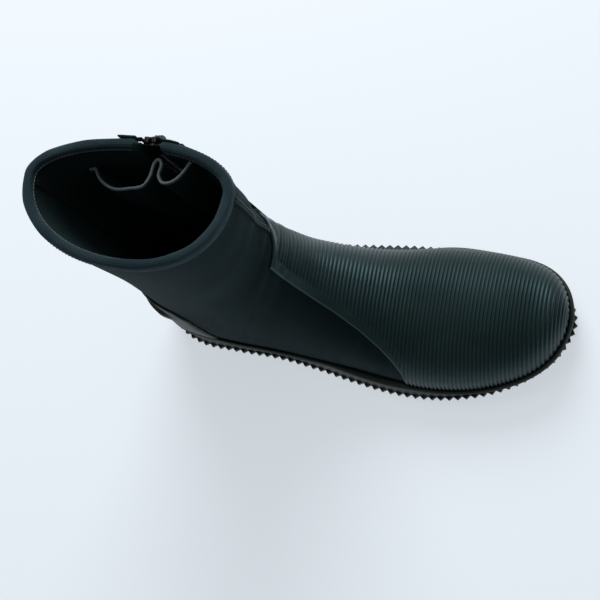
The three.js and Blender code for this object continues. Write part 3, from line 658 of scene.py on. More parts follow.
# puts a small mesh on every point, turned by the point's 'ahead' and 'facing' directions
def scatterTree():
    tree, g, given = newTree("scatter", [("Piece", "Object"), ("Size", "Vector"), ("Vary", "Float"),
                                         ("Material", "Material")])
    ahead, facing = attribute(g, "ahead", "FLOAT_VECTOR"), attribute(g, "facing", "FLOAT_VECTOR")
    turn = g.add("FunctionNodeAlignRotationToVector", {"axis": "X"}, Vector=ahead)
    turn = g.add("FunctionNodeAlignRotationToVector", {"axis": "Z", "pivot_axis": "X"},
                 Rotation=turn, Vector=facing)
    random = g.add("FunctionNodeRandomValue", {"data_type": "FLOAT"}, Seed=7)
    for socket in random.node.inputs:
        if socket.enabled and socket.name in ("Min", "Max"):
            socket.default_value = -1.0 if socket.name == "Min" else 1.0
    chance = Value(g, random.node, next(o for o in random.node.outputs if o.enabled))
    size = g.add("ShaderNodeVectorMath", {"operation": "SCALE"}, given.out("Size"),
                 Scale=1 + chance * given.out("Vary"))
    shape = g.add("GeometryNodeObjectInfo", None, Object=given.out("Piece")).out("Geometry")
    placed = g.add("GeometryNodeInstanceOnPoints", None, Points=given.out("Geometry"), Instance=shape,
                   Rotation=turn, Scale=size)
    endTree(g, placed, given.out("Material"))
    return tree


ribs = ribTree()
scatter = scatterTree()


def template(name, points, faces):
    mesh = bpy.data.meshes.new(name)
    mesh.from_pydata(points, [], faces)
    mesh.shade_smooth()
    faceOut(mesh)
    piece = bpy.data.objects.new(name, mesh)
    return piece


# one thread lying on cloth: a bent lozenge, a unit long along X, that dips in at both ends
def stitchShape():
    points, faces = [], []
    sides, steps = 6, 7
    for i in range(steps):
        t = i / (steps - 1) * 2 - 1
        roundness = max(0.12, math.sqrt(max(0, 1 - t**4)))
        rise = 0.55 * (1 - t * t) - 0.35
        for k in range(sides):
            turn = 2 * math.pi * k / sides
            points.append((t / 2, 0.5 * math.cos(turn) * roundness, rise + 0.5 * math.sin(turn) * roundness))
    for i in range(steps - 1):
        for k in range(sides):
            a, b = i * sides + k, i * sides + (k + 1) % sides
            faces.append((a, b, b + sides, a + sides))
    faces.append(tuple(range(sides)))
    faces.append(tuple(reversed(range((steps - 1) * sides, steps * sides))))
    return template("stitch_shape", points, faces)


stitchTemplate = stitchShape()


def scattered(name, points, ahead, facing, shape, size, material, vary=0.0):
    mesh = bpy.data.meshes.new(name)
    mesh.from_pydata([tuple(p) for p in points], [], [])
    for label, values in (("ahead", ahead), ("facing", facing)):
        layer = mesh.attributes.new(label, "FLOAT_VECTOR", "POINT")
        layer.data.foreach_set("vector", np.asarray(values, np.float32).ravel())
    piece = linked(name, mesh)
    runTree(piece, scatter, Piece=shape, Size=size, Vary=vary, Material=materials[material])
    piece.data.shade_smooth()
    return piece


# points at a pitch along a polyline, with the direction at each
def evenly(path, pitch):
    lengths = runLengths(path)
    count = max(2, int(round(lengths[-1] / pitch)))
    at = (np.arange(count) + 0.5) / count * lengths[-1]
    points = pointsAt(at, lengths, path)
    step = min(pitch, lengths[-1] / 4) / 2
    ends = [pointsAt(at + d, lengths, path) for d in (-step, step)]
    return points, unit(ends[1] - ends[0]), at


# several meshes of one piece in one object
def joined(name, parts):
    shape = bmesh.new()
    slots = []
    for part in parts:
        start = len(shape.faces)
        shape.from_mesh(part.data)
        shape.faces.ensure_lookup_table()
        for k in range(start, len(shape.faces)):
            face = shape.faces[k]
            wanted = part.data.materials[min(face.material_index, len(part.data.materials) - 1)]
            if wanted not in slots:
                slots.append(wanted)
            face.material_index = slots.index(wanted)
    mesh = bpy.data.meshes.new(name)
    shape.to_mesh(mesh)
    shape.free()
    for material in slots:
        mesh.materials.append(material)
    for part in parts:
        bpy.data.objects.remove(part)
    piece = linked(name, mesh)
    return piece


print("tools ready")

# neoprene panels
panels = {
    "rows": 240,
    "hemHeight": 8 * mm,
    "seamSway": 0.2 * half,
    "seamLow": soleTop + 0.6 * boot["instepHeight"],
    "vampTop": soleTop + 1.46 * boot["instepHeight"],
    "seamHair": 0.15 / 40,  # radians that keep neighbours apart along their seam
}
rimHeight = soleTop + boot["cuffHeight"]


# how far a point is on the inner side of the front seam
def seamLine(p):
    z = p[..., 2]
    at = np.interp(z, [0, panels["seamLow"], panels["vampTop"], rimHeight], [0, 0, panels["seamSway"], 0])
    return p[..., 1] - middleY - at


def frontSeam(s):
    return crossing(s, seamLine, -1.2, 1.2)


def zipEdge(s, x, start, stop):
    return crossing(s, lambda p: zipLocal(p)[0] - x, start, stop)


# ring positions for a panel's rows: the last row follows the rim at a depth
def panelRows(s, a, depth):
    top = belowRim(a, depth)
    return s - (lastRing - top) * smooth(s, 11.5, lastRing)


def makePanel(name, lowEdge, highEdge, start, columns):
    s = np.linspace(start, lastRing, panels["rows"])
    t = np.linspace(0, 1, columns)
    depth = panels["hemHeight"] + gap
    low, high = lowEdge(s), highEdge(s)
    for _ in range(2):
        a = low[:, None] + (high - low)[:, None] * t
        rows = panelRows(s[:, None], a, depth)
        low, high = lowEdge(rows[:, 0]), highEdge(rows[:, -1])
    a = low[:, None] + (high - low)[:, None] * t
    a = a + panels["seamHair"] * np.linspace(1, -1, columns)
    rows = panelRows(s[:, None], a, depth)
    outer, inner = shell(rows, a, 0), shell(rows, a, -neoprene)
    return sheetSolid(name, outer, inner, "jersey", clothMap(outer), "lining")


keelSide = math.pi - 0.002  # just short of the keel, so that the panels meet there


# an edge of the zip's opening, and below it of the seam under the zip
def slotEdge(s, side):
    return crossing(s, lambda p: zipLocal(p)[0] - side * slotHalfAt(zipLocal(p)[1]), 0.25, keelSide, 600)


def zipFrontEdge(s):
    return slotEdge(s, -1)


def zipRearEdge(s):
    return slotEdge(s, 1)


# half the width of the zip's opening, round at its foot
def slotHalfAt(y):
    slot = zipSizes["slot"]
    return np.where(y > 0, slot, np.sqrt(np.maximum(slot**2 - np.minimum(y, 0) ** 2, 0)))


outerPanel = makePanel("outer_neoprene", lambda s: np.full_like(s, -keelSide), frontSeam, 0.12, 72)
settle(outerPanel, "boot", "neoprene_jersey", "outer_panel")
innerFront = makePanel("inner_front_neoprene", frontSeam, zipFrontEdge, 0.12, 64)
settle(innerFront, "boot", "neoprene_jersey", "inner_front_panel")
heelRings = np.linspace(8, 9, 101)
firstHeelRing = heelRings[np.argmax(zipRearEdge(heelRings) < keelSide - 0.02)]
innerHeel = makePanel("inner_heel_neoprene", zipRearEdge, lambda s: np.full_like(s, keelSide),
                      firstHeelRing, 40)
settle(innerHeel, "boot", "neoprene_jersey", "inner_heel_panel")
print("panels made")

# folded hem round the rim
hem = {
    "height": panels["hemHeight"],
    "proud": hemProud,
    "steps": 260,
    "wave": 0.35 * mm,
    "around": 0.3,  # metres round the rim
    "endRound": 1.6 * mm,
}


def hemSection():
    outside, inside = hem["proud"], -neoprene - hem["proud"]
    middle, radius = (outside + inside) / 2, (outside - inside) / 2
    swell, swellAt, bend = 0.1 * mm, hem["height"] * 0.72, radius + 0.3 * mm
    points = [(outside, hem["height"]), (outside + swell, swellAt), (outside, bend)]
    for k in range(1, 10):
        turn = math.pi * k / 10
        points.append((middle + radius * math.cos(turn), radius * (1 - 0.94 * math.sin(turn))))
    points += [(inside, bend), (inside - swell, swellAt), (inside, hem["height"])]
    points += [(inside + radius * 0.66, hem["height"]), (outside - radius * 0.66, hem["height"])]
    return points


def makeHem():
    last = np.array([float(lastRing)])
    rear = zipEdge(last, zipSizes["hemEdge"], 0.4, 2.8)[0]
    front = zipEdge(last, -zipSizes["hemEdge"], 0.4, 2.8)[0] + 2 * math.pi
    section = hemSection()
    count = hem["steps"]
    t = np.linspace(0, 1, count)
    a = rear + (front - rear) * t
    grid = np.zeros((count, len(section), 3))
    middle = -neoprene / 2
    ends = np.minimum(t, 1 - t) * hem["around"]
    shrink = np.sqrt(np.clip(1 - (1 - np.clip(ends / hem["endRound"], 0, 1)) ** 2, 0.05, 1))
    for k, (distance, depth) in enumerate(section):
        loose = 1 - smooth(np.full(count, depth), 0.4 * hem["height"], hem["height"])
        sway = hem["wave"] * loose * (np.sin(a * 9) * 0.6 + np.sin(a * 23 + 1) * 0.3 + np.sin(a * 5 + 2))
        d = middle + (distance - middle) * shrink * (1 - 0.04 * loose * (1 + np.sin(a * 14)))
        grid[:, k] = shell(belowRim(a, depth + np.abs(sway) * 0.8), a, d)
    piece = newPiece("cuff_hem_fold", grid, tubeFaces(count, len(section)), "hem", clothMap(grid))
    return piece, rear, front


hemFold, hemRear, hemFront = makeHem()
settle(hemFold, "boot", "hem_jersey", "cuff_hem")
print("hem made")

# ribbed rubber vamp
vamp = {
    "rubber": 1.8 * mm,
    "base": 0.85 * mm,
    "pitch": 2.6 * mm,
    "ribHeight": 0.95 * mm,
    "sharpness": 0.75,
    "border": 4.2 * mm,
    "top": panels["vampTop"],
    "slope": 0.4,
    "columns": 76,
    "rowStep": 0.45 * mm,
    "hem": 1.5 * mm,
    "crowding": 0.045,
    "noseShare": 0.05,
}
# the overlay's two edges in plan: shares of the foot's length and of half the ball width
tongueOuter = [(0.37, 0.22), (0.44, 0.33), (0.5, 0.45), (0.55, 0.585), (0.592, 0.73), (0.621, 0.85),
               (0.651, 1.01), (0.675, 1.4)]
tongueInner = [(0.37, 0.52), (0.42, 0.6), (0.47, 0.7), (0.52, 0.84), (0.56, 1.05), (0.58, 1.4)]


# positive where a point of one side lies off the vamp
def tongueReach(p, side):
    x, y = p[..., 0] - heelX, (p[..., 1] - middleY) * side
    knots = np.array(tongueInner if side > 0 else tongueOuter) * (boot["footLength"], half)
    across = np.interp(x, knots[:, 0], knots[:, 1], left=knots[0, 1] * 0.9, right=1.4 * half + 1)
    low = soleTop + vamp["hem"] - p[..., 2]
    return np.maximum(y - across, low)


def endOfTongue(p):
    return p[..., 2] - (vamp["top"] + vamp["slope"] * (p[..., 1] - middleY))


def vampEdge(s, side):
    angles = crossing(s, lambda p: tongueReach(p, side), 0.02 * side, keelSide * side, 900)
    width = 9
    padded = np.pad(angles, width, mode="edge")
    smoothed = np.convolve(padded, np.hanning(2 * width + 1) / np.hanning(2 * width + 1).sum(), "same")
    return smoothed[width:-width]


# ring position at which the tongue ends, for each angle
def topOfVamp(a):
    s = np.linspace(8.5, 11.5, 160)
    values = endOfTongue(skin(s[:, None], a[None, :]))
    return np.array([np.interp(0, values[:, k], s) for k in range(len(a))])


def makeVamp():
    fine = np.linspace(0.01, 11, 2200)
    ridge = skin(fine, np.zeros_like(fine))
    step = np.linalg.norm(np.diff(ridge, axis=0) * (1, 1, 0.75), axis=1)
    travel = np.concatenate([[0], np.cumsum(step)])
    topRing = topOfVamp(np.array([0.0]))[0]
    length = np.interp(topRing, fine, travel)
    count = int(length / vamp["rowStep"])
    s = np.interp(np.linspace(0.0, length, count), travel, fine)
    inner, outer = vampEdge(s, 1), vampEdge(s, -1)
    t = np.linspace(-1, 1, vamp["columns"])
    t = t + vamp["crowding"] * np.sin(t * math.pi)  # closer together at the edges
    t = t / t[-1]
    a = np.where(t >= 0, inner[:, None] * np.abs(t), outer[:, None] * np.abs(t))
    shift = topOfVamp(a[-1]) - topRing
    rows = s[:, None] + shift[None, :] * smooth(s[:, None], topRing - 2.2, topRing)
    low = shell(rows, a, gap)
    top = shell(rows, a, gap + vamp["base"])
    for face in (low, top):
        nose = face[0].mean(axis=0)
        face[0] = nose + (face[0] - nose) * vamp["noseShare"]  # closes the layer at the toe
    piece = sheetSolid("vamp", top, low, "ribbed")
    across = np.linalg.norm(np.diff(top, axis=1), axis=2)
    fromLeft = np.concatenate([np.zeros((count, 1)), np.cumsum(across, axis=1)], axis=1)
    toSide = np.minimum(fromLeft, fromLeft[:, -1:] - fromLeft)
    slant = 1 - 0.35 * smooth(s, 5.0, 6.0)[:, None]
    hidden = smooth(soleTop + 9 * mm - top[..., 2], 0, 4 * mm)  # the ribs run down behind the rand
    toSide = toSide * slant + (hidden + 1 - smooth(s, 1.5, 2.5)[:, None]) * 0.02
    distance = np.interp(rows, fine, travel)
    toTop = (length - distance) + np.interp(topRing + shift, fine, travel)[None, :] - length
    edge = np.maximum(np.minimum(toSide, np.maximum(toTop, 0)), 0)
    zero = np.zeros_like(distance)
    for label, front, back in (("travel", distance, distance), ("edge", edge, zero)):
        layer = piece.data.attributes.new(label, "FLOAT", "POINT")
        layer.data.foreach_set("value", np.concatenate([front.ravel(), back.ravel()]).astype(np.float32))
    runTree(piece, ribs, Pitch=vamp["pitch"], Height=vamp["ribHeight"], Sharpness=vamp["sharpness"],
            Border=vamp["border"], Material=materials["ribbed"])
    piece.data.shade_smooth()
    return piece


settle(makeVamp(), "boot", "ribbed_rubber", "ribbed_vamp")
print("vamp made")

# rand, wrapped round the sock by looking inwards from the sole's outline
rand = {
    "wall": 2.2 * mm,
    "heelTop": 24 * mm,
    "ballTop": 9 * mm,
    "toeTop": 14 * mm,
    "lip": 0.7 * mm,
    "stations": 360,
    "inset": 2.0 * mm,
    "lean": 0.95,  # sideways for each step up, along the arch
    "setIn": 0.3 * mm,
    "batter": 0.9 * mm,
    "tuck": 4.0 * mm,
    "sharpFrom": 75,
}
outerEdge = [(0, 0), (0.035, 0.42), (0.1, 0.66), (0.2, 0.74), (0.31, 0.79), (0.41, 0.9), (0.51, 1.04),
             (0.61, 1.14), (0.7, 1.15), (0.77, 1.09), (0.84, 0.96), (0.905, 0.74), (0.96, 0.44), (0.99, 0.12)]
innerEdge = [(1, -0.12), (0.985, -0.42), (0.945, -0.7), (0.895, -0.89), (0.83, -1.01), (0.76, -1.07),
             (0.68, -1.09), (0.59, -1.09), (0.5, -1.06), (0.4, -1.02), (0.3, -0.94), (0.2, -0.81),
             (0.1, -0.67), (0.035, -0.42)]


# the sole's edge as a smooth closed curve, moved inwards
def soleOutline(count, inset):
    length, heel = boot["footLength"] + 9 * mm, -4 * mm
    knots = np.array([(heelX + heel + x * length, middleY - y * half) for x, y in outerEdge + innerEdge])
    n = len(knots)
    points = []
    for i in range(n):
        p0, p1, p2, p3 = (knots[(i + k) % n] for k in (-1, 0, 1, 2))
        d0, d1, d2 = (max(np.linalg.norm(q), 1e-9) ** 0.5 for q in (p1 - p0, p2 - p1, p3 - p2))
        m1 = ((p1 - p0) / d0 - (p2 - p0) / (d0 + d1) + (p2 - p1) / d1) * d1
        m2 = ((p2 - p1) / d1 - (p3 - p1) / (d1 + d2) + (p3 - p2) / d2) * d1
        for t in np.linspace(0, 1, 40, endpoint=False):
            points.append(hermite(p1, p2, m1, m2, t))
    path = np.array(points + points[:1])
    lengths = runLengths(path)
    at = np.arange(count) / count * lengths[-1]
    around = pointsAt(at, lengths, path)
    ahead = unit(np.roll(around, -1, axis=0) - np.roll(around, 1, axis=0))
    out = np.stack([ahead[:, 1], -ahead[:, 0]], axis=-1)
    if ((around - around.mean(axis=0)) * out).sum() < 0:
        out = -out
    return around - out * inset, out


def randTop(x):
    share = (x - heelX) / boot["footLength"]
    heel = (rand["heelTop"] - rand["ballTop"]) * (1 - smooth(share, 0.12, 0.6))
    toe = (rand["toeTop"] - rand["ballTop"]) * smooth(share, 0.75, 1)
    return soleTop + rand["ballTop"] + heel + toe


def leanAt(around):
    share = (around[:, 0] - heelX) / boot["footLength"]
    arch = smooth(share, 0.12, 0.32) * (1 - smooth(share, 0.52, 0.72))
    return rand["lean"] * arch * (around[:, 1] > middleY)


# 1 where the vamp lies over the sock, 0 where it doesn't, with a short slope between
def onVamp(s, a):
    p = skin(s, a)
    off = np.maximum(tongueReach(p, 1) * (p[..., 1] > middleY), tongueReach(p, -1) * (p[..., 1] <= middleY))
    low = p[..., 2] < soleTop + vamp["hem"]
    x = p[..., 0] - heelX
    return np.where(low, smooth(x, 0.62 * boot["footLength"], 0.67 * boot["footLength"]),
                    1 - smooth(off, -1 * mm, 2.5 * mm)) * (x > 0.55 * boot["footLength"])


# a tree of the shell's faces, with the vamp's thickness on top where the vamp is
def lookingIn(distance):
    s = np.concatenate([np.linspace(0.05, 1, 24), np.linspace(1.05, 14, 150)])
    a = np.linspace(-math.pi, math.pi, 181)[:-1]
    grid = shell(s[:, None], a[None, :], distance + onVamp(s[:, None], a[None, :]) * (vamp["rubber"] + gap))
    faces = gridFaces(len(s), len(a), 0, around=True).tolist()
    faces.append(list(range(len(a)))[::-1])
    return BVHTree.FromPolygons([tuple(p) for p in grid.reshape(-1, 3)], faces)


# how far outside the outline (or inside, below 0) the surface is at height z
def hitDistance(tree, around, out, z):
    far = 0.05
    found = np.full(len(around), -0.02)
    for i, (p, o) in enumerate(zip(around, out)):
        start = Vector((p[0] + o[0] * far, p[1] + o[1] * far, z if np.isscalar(z) else z[i]))
        hit = tree.ray_cast(start, Vector((-o[0], -o[1], 0)), 0.12)
        if hit[0] is not None:
            found[i] = far - hit[3]
    return found


def softened(values, width=3):
    kernel = np.hanning(2 * width + 3)[1:-1]
    kernel /= kernel.sum()
    return np.convolve(np.concatenate([values[-width:], values, values[:width]]), kernel, "valid")


def makeRand():
    around, out = soleOutline(rand["stations"], rand["inset"])
    touching, outside = lookingIn(gap), lookingIn(gap + rand["wall"])
    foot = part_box("rand")[0].z
    top = randTop(around[:, 0])
    lean = leanAt(around)
    levels = np.array([0, 0.12, 0.3, 0.5, 0.7, 0.82, 0.9])
    profile = []
    for level in levels:
        z = foot + (top - foot) * level
        surface = softened(hitDistance(outside, around, out, z))
        wall = softened(np.maximum(surface, -rand["setIn"] - rand["batter"] * level - lean * (z - foot)), 9)
        bead = rand["lip"] * math.exp(-(((level - 0.86) / 0.09) ** 2))
        profile.append((wall + bead, z))
    z = foot + (top - foot)
    surface = softened(hitDistance(outside, around, out, z - 0.6 * mm))
    surface = softened(np.maximum(surface, -1.2 * mm - lean * (z - foot)), 9)
    profile.append((surface - 0.5 * mm, z - 0.25 * mm))
    profile.append((surface - 1.2 * mm, z))
    for level in (0.97, 0.6, 0.3):
        z = foot + (top - foot) * level
        inner = hitDistance(touching, around, out, z)
        if level > 0.9:
            inner = np.minimum(inner, profile[-1][0] - 0.4 * mm)
        profile.append((inner, z))
    low = profile[-1][0]
    profile.append((np.minimum(low, -rand["tuck"]), np.full(len(around), soleTop + 0.3 * mm)))
    profile.append((np.full(len(around), -rand["tuck"]), np.full(len(around), foot)))
    grid = np.zeros((len(around), len(profile), 3))
    for k, (distance, z) in enumerate(profile):
        grid[:, k, :2] = around + out * distance[:, None]
        grid[:, k, 2] = z
    columns = len(profile)
    faces = gridFaces(len(around), columns, 0, around=True)
    closing = gridFaces(2, columns, 0, around=True)
    wrap = np.where(closing >= columns, closing - columns, closing + (len(around) - 1) * columns)
    piece = newPiece("rand_band", grid, np.concatenate([faces, wrap]).tolist(), "rubber")
    piece.data.set_sharp_from_angle(angle=math.radians(rand["sharpFrom"]))
    return piece


settle(makeRand(), "boot", "sole_rubber", "rand")
print("rand made")

# sole: the frame's own shape with rounded edges
settle(refined("outsole", "serrated_outsole", 0.35 * mm, "rubber"), "boot", "sole_rubber", "outsole")
settle(refined("midsole", "midsole_sheet", 0.3 * mm, "foam"), "boot", "foam", "midsole")
settle(refined("sock_sole", "sock_sole_sheet", 0.3 * mm, "jersey"), "boot", "neoprene_jersey", "sock_sole")
print("sole made")

# heel patch with its strap shelf
heel = {
    "rubber": 1.7 * mm,
    "top": soleTop + 0.95 * boot["instepHeight"],
    "reach": 0.17 * boot["footLength"],
    "shelf": soleTop + 0.58 * boot["instepHeight"],
    "shelfHeight": 5 * mm,
    "shelfDepth": 3.2 * mm,
    "groovePitch": 3.2 * mm,
    "grooveDepth": 0.55 * mm,
    "rows": 90,
    "columns": 90,
}


def ringAtHeight(a, z):
    s = np.linspace(9.2, 15, 240)
    heights = skin(s[:, None], a.ravel()[None, :])[..., 2]
    flat = np.array([np.interp(z.ravel()[k], heights[:, k], s) for k in range(a.size)])
    return flat.reshape(a.shape)


def makeHeelPatch():
    low = randTop(np.array([heelX]))[0] + 0.5 * mm
    z = np.linspace(low, heel["top"], heel["rows"])
    share = (z - low) / (heel["top"] - low)
    reach = heel["reach"] * np.interp(share, [0, 0.66, 0.86, 0.97, 1], [1, 0.8, 0.58, 0.42, 0.33])
    angles = np.linspace(0.02, 1.9, 120)
    edges = []
    for side in (-1, 1):
        a = math.pi - angles
        grid = np.broadcast_to(a * side, (len(z), len(a)))
        x = skin(ringAtHeight(grid, np.broadcast_to(z[:, None], grid.shape)), grid)[..., 0] - heelX
        edges.append(np.array([angles[np.argmax(row > r)] for row, r in zip(x, reach)]))
    kernel = np.hanning(9) / np.hanning(9).sum()
    edges = [np.convolve(np.pad(e, 4, mode="edge"), kernel, "valid") for e in edges]
    t = np.linspace(-1, 1, heel["columns"])
    b = np.where(t < 0, edges[0][:, None] * t, edges[1][:, None] * t)
    a = np.where(b < 0, -(math.pi + b), math.pi - b)
    a = (a + math.pi) % (2 * math.pi) - math.pi
    s = ringAtHeight(a, np.broadcast_to(z[:, None], a.shape))
    toSide = 1 - np.abs(t)[None, :]
    border = np.minimum(np.minimum(toSide, share[:, None]), 1 - share[:, None])
    edge = np.clip(border / 0.03, 0, 1)
    grooves = 0.5 + 0.5 * np.cos((z - heel["shelf"]) / heel["groovePitch"] * 2 * math.pi)
    inside = smooth(np.minimum(toSide, np.minimum(share, 1 - share)[:, None] * 1.4), 0.1, 0.16)
    shelfTop = heel["shelf"] + heel["shelfHeight"]
    below = smooth(z, shelfTop + 1 * mm, shelfTop + 3 * mm)
    groove = grooves[:, None] * inside * below[:, None] * heel["grooveDepth"]
    rise = smooth(z, heel["shelf"] - 3 * mm, heel["shelf"]) * (
        1 - smooth(z, shelfTop - 0.9 * mm, shelfTop))
    shelf = rise[:, None] * heel["shelfDepth"] * (1 - smooth(np.abs(t), 0.55, 0.8))[None, :]
    outer = shell(s, a, gap + heel["rubber"] * (0.45 + 0.55 * np.sqrt(edge)) - groove + shelf)
    return sheetSolid("heel_cup", outer, shell(s, a, gap), "rubber")


settle(makeHeelPatch(), "boot", "sole_rubber", "heel_patch")
print("heel patch made")

# seam tapes
seams = {"width": 5 * mm, "raised": 0.9 * mm, "inner": 10 * mm}


def tapeAlong(name, s, a, width, low, high, columns, material, crown, cord=0.0):
    radius = np.linalg.norm(skin(s, a + 0.01) - skin(s, a - 0.01), axis=-1) / 0.02
    t = np.linspace(-1, 1, columns)
    angles = a[:, None] + t[None, :] * (width / 2 / radius)[:, None]
    rows = np.broadcast_to(s[:, None], angles.shape)
    bulge = np.sqrt(1 - 0.96 * np.abs(t) ** crown)
    bead = cord * np.exp(-((t / 0.3) ** 2))
    lift = low + (high - low) * bulge * 0.85 + bead * (high - low) * 0.15
    outer = shell(rows, angles, np.broadcast_to(lift, angles.shape))
    inner = shell(rows, angles, low)
    return sheetSolid(name, outer, inner, material, clothMap(outer))


def frontSeamRun():
    s = np.linspace(10.0, lastRing, 220)
    a = frontSeam(s)
    s = panelRows(s, a, panels["hemHeight"] + 2 * gap)
    a = frontSeam(s)
    points = skin(s, a)
    keep = endOfTongue(points) > 0.8 * mm
    return s[keep], a[keep]


seamS, seamA = frontSeamRun()
frontTape = tapeAlong("front_seam", seamS, seamA, seams["width"], gap, gap + seams["raised"], 15,
                      "jersey", 2.2, 1.0)
settle(frontTape, "boot", "neoprene_jersey", "front_seam_tape")

backS = np.linspace(12.2, lastRing - 0.2, 120)
inside = -neoprene - gap
backTape = tapeAlong("back_seam_inner", backS, np.full_like(backS, math.pi), seams["inner"], inside,
                     inside - seams["raised"], 13, "webbing", 6)
settle(backTape, "boot", "webbing", "back_seam_tape")
print("seam tapes made")

# insole
insole = {"thick": 4 * mm, "rings": (0.35, 10.15), "rows": 90, "columns": 30, "dish": 0.9 * mm}


def makeInsole():
    floor = soleTop + neoprene + gap
    s = np.linspace(*insole["rings"], insole["rows"])
    layers = []
    for height, tuck in ((insole["thick"] - 0.2 * mm, 1.2 * mm), (0.25 * mm, 0.8 * mm)):
        z = floor + height
        edges = []
        for side in (-1, 1):
            a = np.linspace(0.3, math.pi - 0.01, 400)
            heights = shell(s[:, None], (a * side)[None, :], -neoprene - gap)
            found = []
            for k in range(len(s)):
                below = np.argmax(heights[k, :, 2] < z)
                found.append(heights[k, below])
            edges.append(np.array(found) + np.array([0, -side * tuck, 0]))
        t = np.linspace(0, 1, insole["columns"])
        grid = edges[0][:, None] + (edges[1] - edges[0])[:, None] * t[None, :, None]
        grid[..., 2] = z
        layers.append(grid)
    top, bottom = layers
    t = np.linspace(-1, 1, insole["columns"])
    top[..., 2] -= insole["dish"] * (1 - np.abs(t) ** 3)[None, :] * smooth(9 - s)[:, None]
    piece = sheetSolid("footbed", top, bottom, "foam", clothMap(top))
    return bevelled(piece, 0.5 * mm)


settle(makeInsole(), "boot", "foam", "insole")
print("insole made")

# zip
teeth = {
    "way": 2.2 * mm,
    "row": 3.2 * mm,
    "pitch": 1.9 * mm,
    "low": 3.1 * mm,
    "high": 164.4 * mm,
    "thick": 2.2 * mm,
    "cord": 0.7 * mm,
}
tape = {"thick": 0.9 * mm}


# one moulded tooth: a broad foot round the tape's cord, a neck and a head. It points along +X
def toothShape():
    outline = [(0, -0.3), (0.34, -0.3), (0.46, -0.2), (0.62, -0.2), (0.72, -0.32), (0.9, -0.32), (1.0, -0.18)]
    outline += [(x, -y) for x, y in reversed(outline)]
    points, faces = [], []
    for z, inset in ((-0.5, 0.8), (-0.36, 1.0), (0.36, 1.0), (0.5, 0.8)):
        points += [(0.5 + (x - 0.5) * (inset * 0.5 + 0.5), y * inset, z) for x, y in outline]
    n = len(outline)
    for k in range(3):
        for i in range(n):
            a, b = k * n + i, k * n + (i + 1) % n
            faces.append((a, b, b + n, a + n))
    faces.append(tuple(range(n))[::-1])
    faces.append(tuple(range(3 * n, 4 * n)))
    return template("tooth_shape", points, faces)


toothTemplate = toothShape()


def makeTeeth(name, side):
    count = int((teeth["high"] - teeth["low"]) / teeth["pitch"]) - 1
    y = teeth["low"] + teeth["pitch"] * (np.arange(count) + (0.55 if side > 0 else 1.05))
    x = np.full(count, side * (teeth["way"] / 2 + teeth["row"]))
    points = zipPoint(x, y, np.full(count, tape["thick"] / 2))
    ahead = np.broadcast_to(-side * zipAcross, points.shape)
    facing = np.broadcast_to(zipOut, points.shape)
    size = (teeth["row"], teeth["pitch"] * 1.25, teeth["thick"])
    row = scattered(name + "_teeth", points, ahead, facing, toothTemplate, size, "plastic")
    ys = np.linspace(teeth["low"], teeth["high"], 120)
    turn = np.linspace(0, 2 * math.pi, 11)[:-1]
    across = side * (teeth["way"] / 2 + teeth["row"] - 0.75 * mm)
    tube = zipPoint(across + teeth["cord"] * np.cos(turn)[None, :], ys[:, None],
                    tape["thick"] / 2 + teeth["cord"] * np.sin(turn)[None, :])
    cord = newPiece(name + "_cord", tube, tubeFaces(len(ys), len(turn)), "webbing")
    return joined(name, [row, cord])


# node, piece, bevel in mm, material, bevel segments, body, slot
ownShapes = [
    ("zip_bottom_stop", "zip_base_stop", 0.5, "plastic", 3, "boot", "zip_plastic"),
    ("zip_foot_patch", "zip_base_patch", 0.5, "rubber", 3, "boot", "sole_rubber"),
    ("zip_slider", "slider_body", 0.35, "plastic", 3, "zip_slider", "zip_plastic"),
    ("zip_pull_tab", "slider_tab", 0.35, "plastic", 3, "pull_tab", "zip_plastic"),
]
sideShapes = [
    ("zip_tape_", "zip_ribbon_", 0.25, "webbing", 2, "boot", "webbing"),
    ("zip_top_stop_", "zip_stop_", 0.45, "plastic", 3, "boot", "zip_plastic"),
    ("hem_tab_", "hem_bartack_", 0.3, "tab", 2, "boot", "webbing"),
]


def finishShapes(rows, end=""):
    for node, name, bevel, material, segments, body, slot in rows:
        settle(refined(node + end, name + end, bevel * mm, material, segments), body, slot, node + end)


for end, side in (("front", -1), ("rear", 1)):
    settle(makeTeeth("zip_row_" + end, side), "boot", "zip_plastic", "zip_teeth_" + end)
    finishShapes(sideShapes, end)
finishShapes(ownShapes)
print("zip made")

# gusset behind the zip
gusset = {
    "thick": 1.4 * mm,
    "drop": 14 * mm,
    "low": 17 * mm,
    "rows": 70,
    "columns": 150,
    "bindingWide": 0.85 * mm,
    "bindingTall": 1.1 * mm,
}
# the fold seen from above: across the zip and inwards, from the heel side to the toe side
gussetRoute = np.array([
    (50, 4), (43, 13), (36.5, 22.5), (28, 27), (16, 28.3), (6, 26.5), (1.6, 20), (0.2, 11), (-2.4, 8),
    (-5, 12), (-4.6, 19), (-8.5, 24.3), (-15, 23.4), (-21, 17), (-27, 5),
]) * mm


# a smooth open curve through the knots, with evenly spaced points
def splinePath(knots, count):
    padded = np.concatenate([knots[:1], knots, knots[-1:]])
    points = []
    for i in range(1, len(padded) - 2):
        p0, p1, p2, p3 = padded[i - 1:i + 3]
        for t in np.linspace(0, 1, 30, endpoint=False):
            points.append(hermite(p1, p2, (p2 - p0) / 2, (p3 - p1) / 2, t))
    path = np.array(points + [knots[-1]])
    lengths = runLengths(path)
    return pointsAt(np.linspace(0, lengths[-1], count), lengths, path)


def lining(distance):
    s = np.linspace(8, lastRing, 90)
    a = np.linspace(-math.pi, math.pi, 181)[:-1]
    grid = shell(s[:, None], a[None, :], distance)
    faces = gridFaces(len(s), len(a), 0, around=True).tolist()
    return BVHTree.FromPolygons([tuple(p) for p in grid.reshape(-1, 3)], faces)


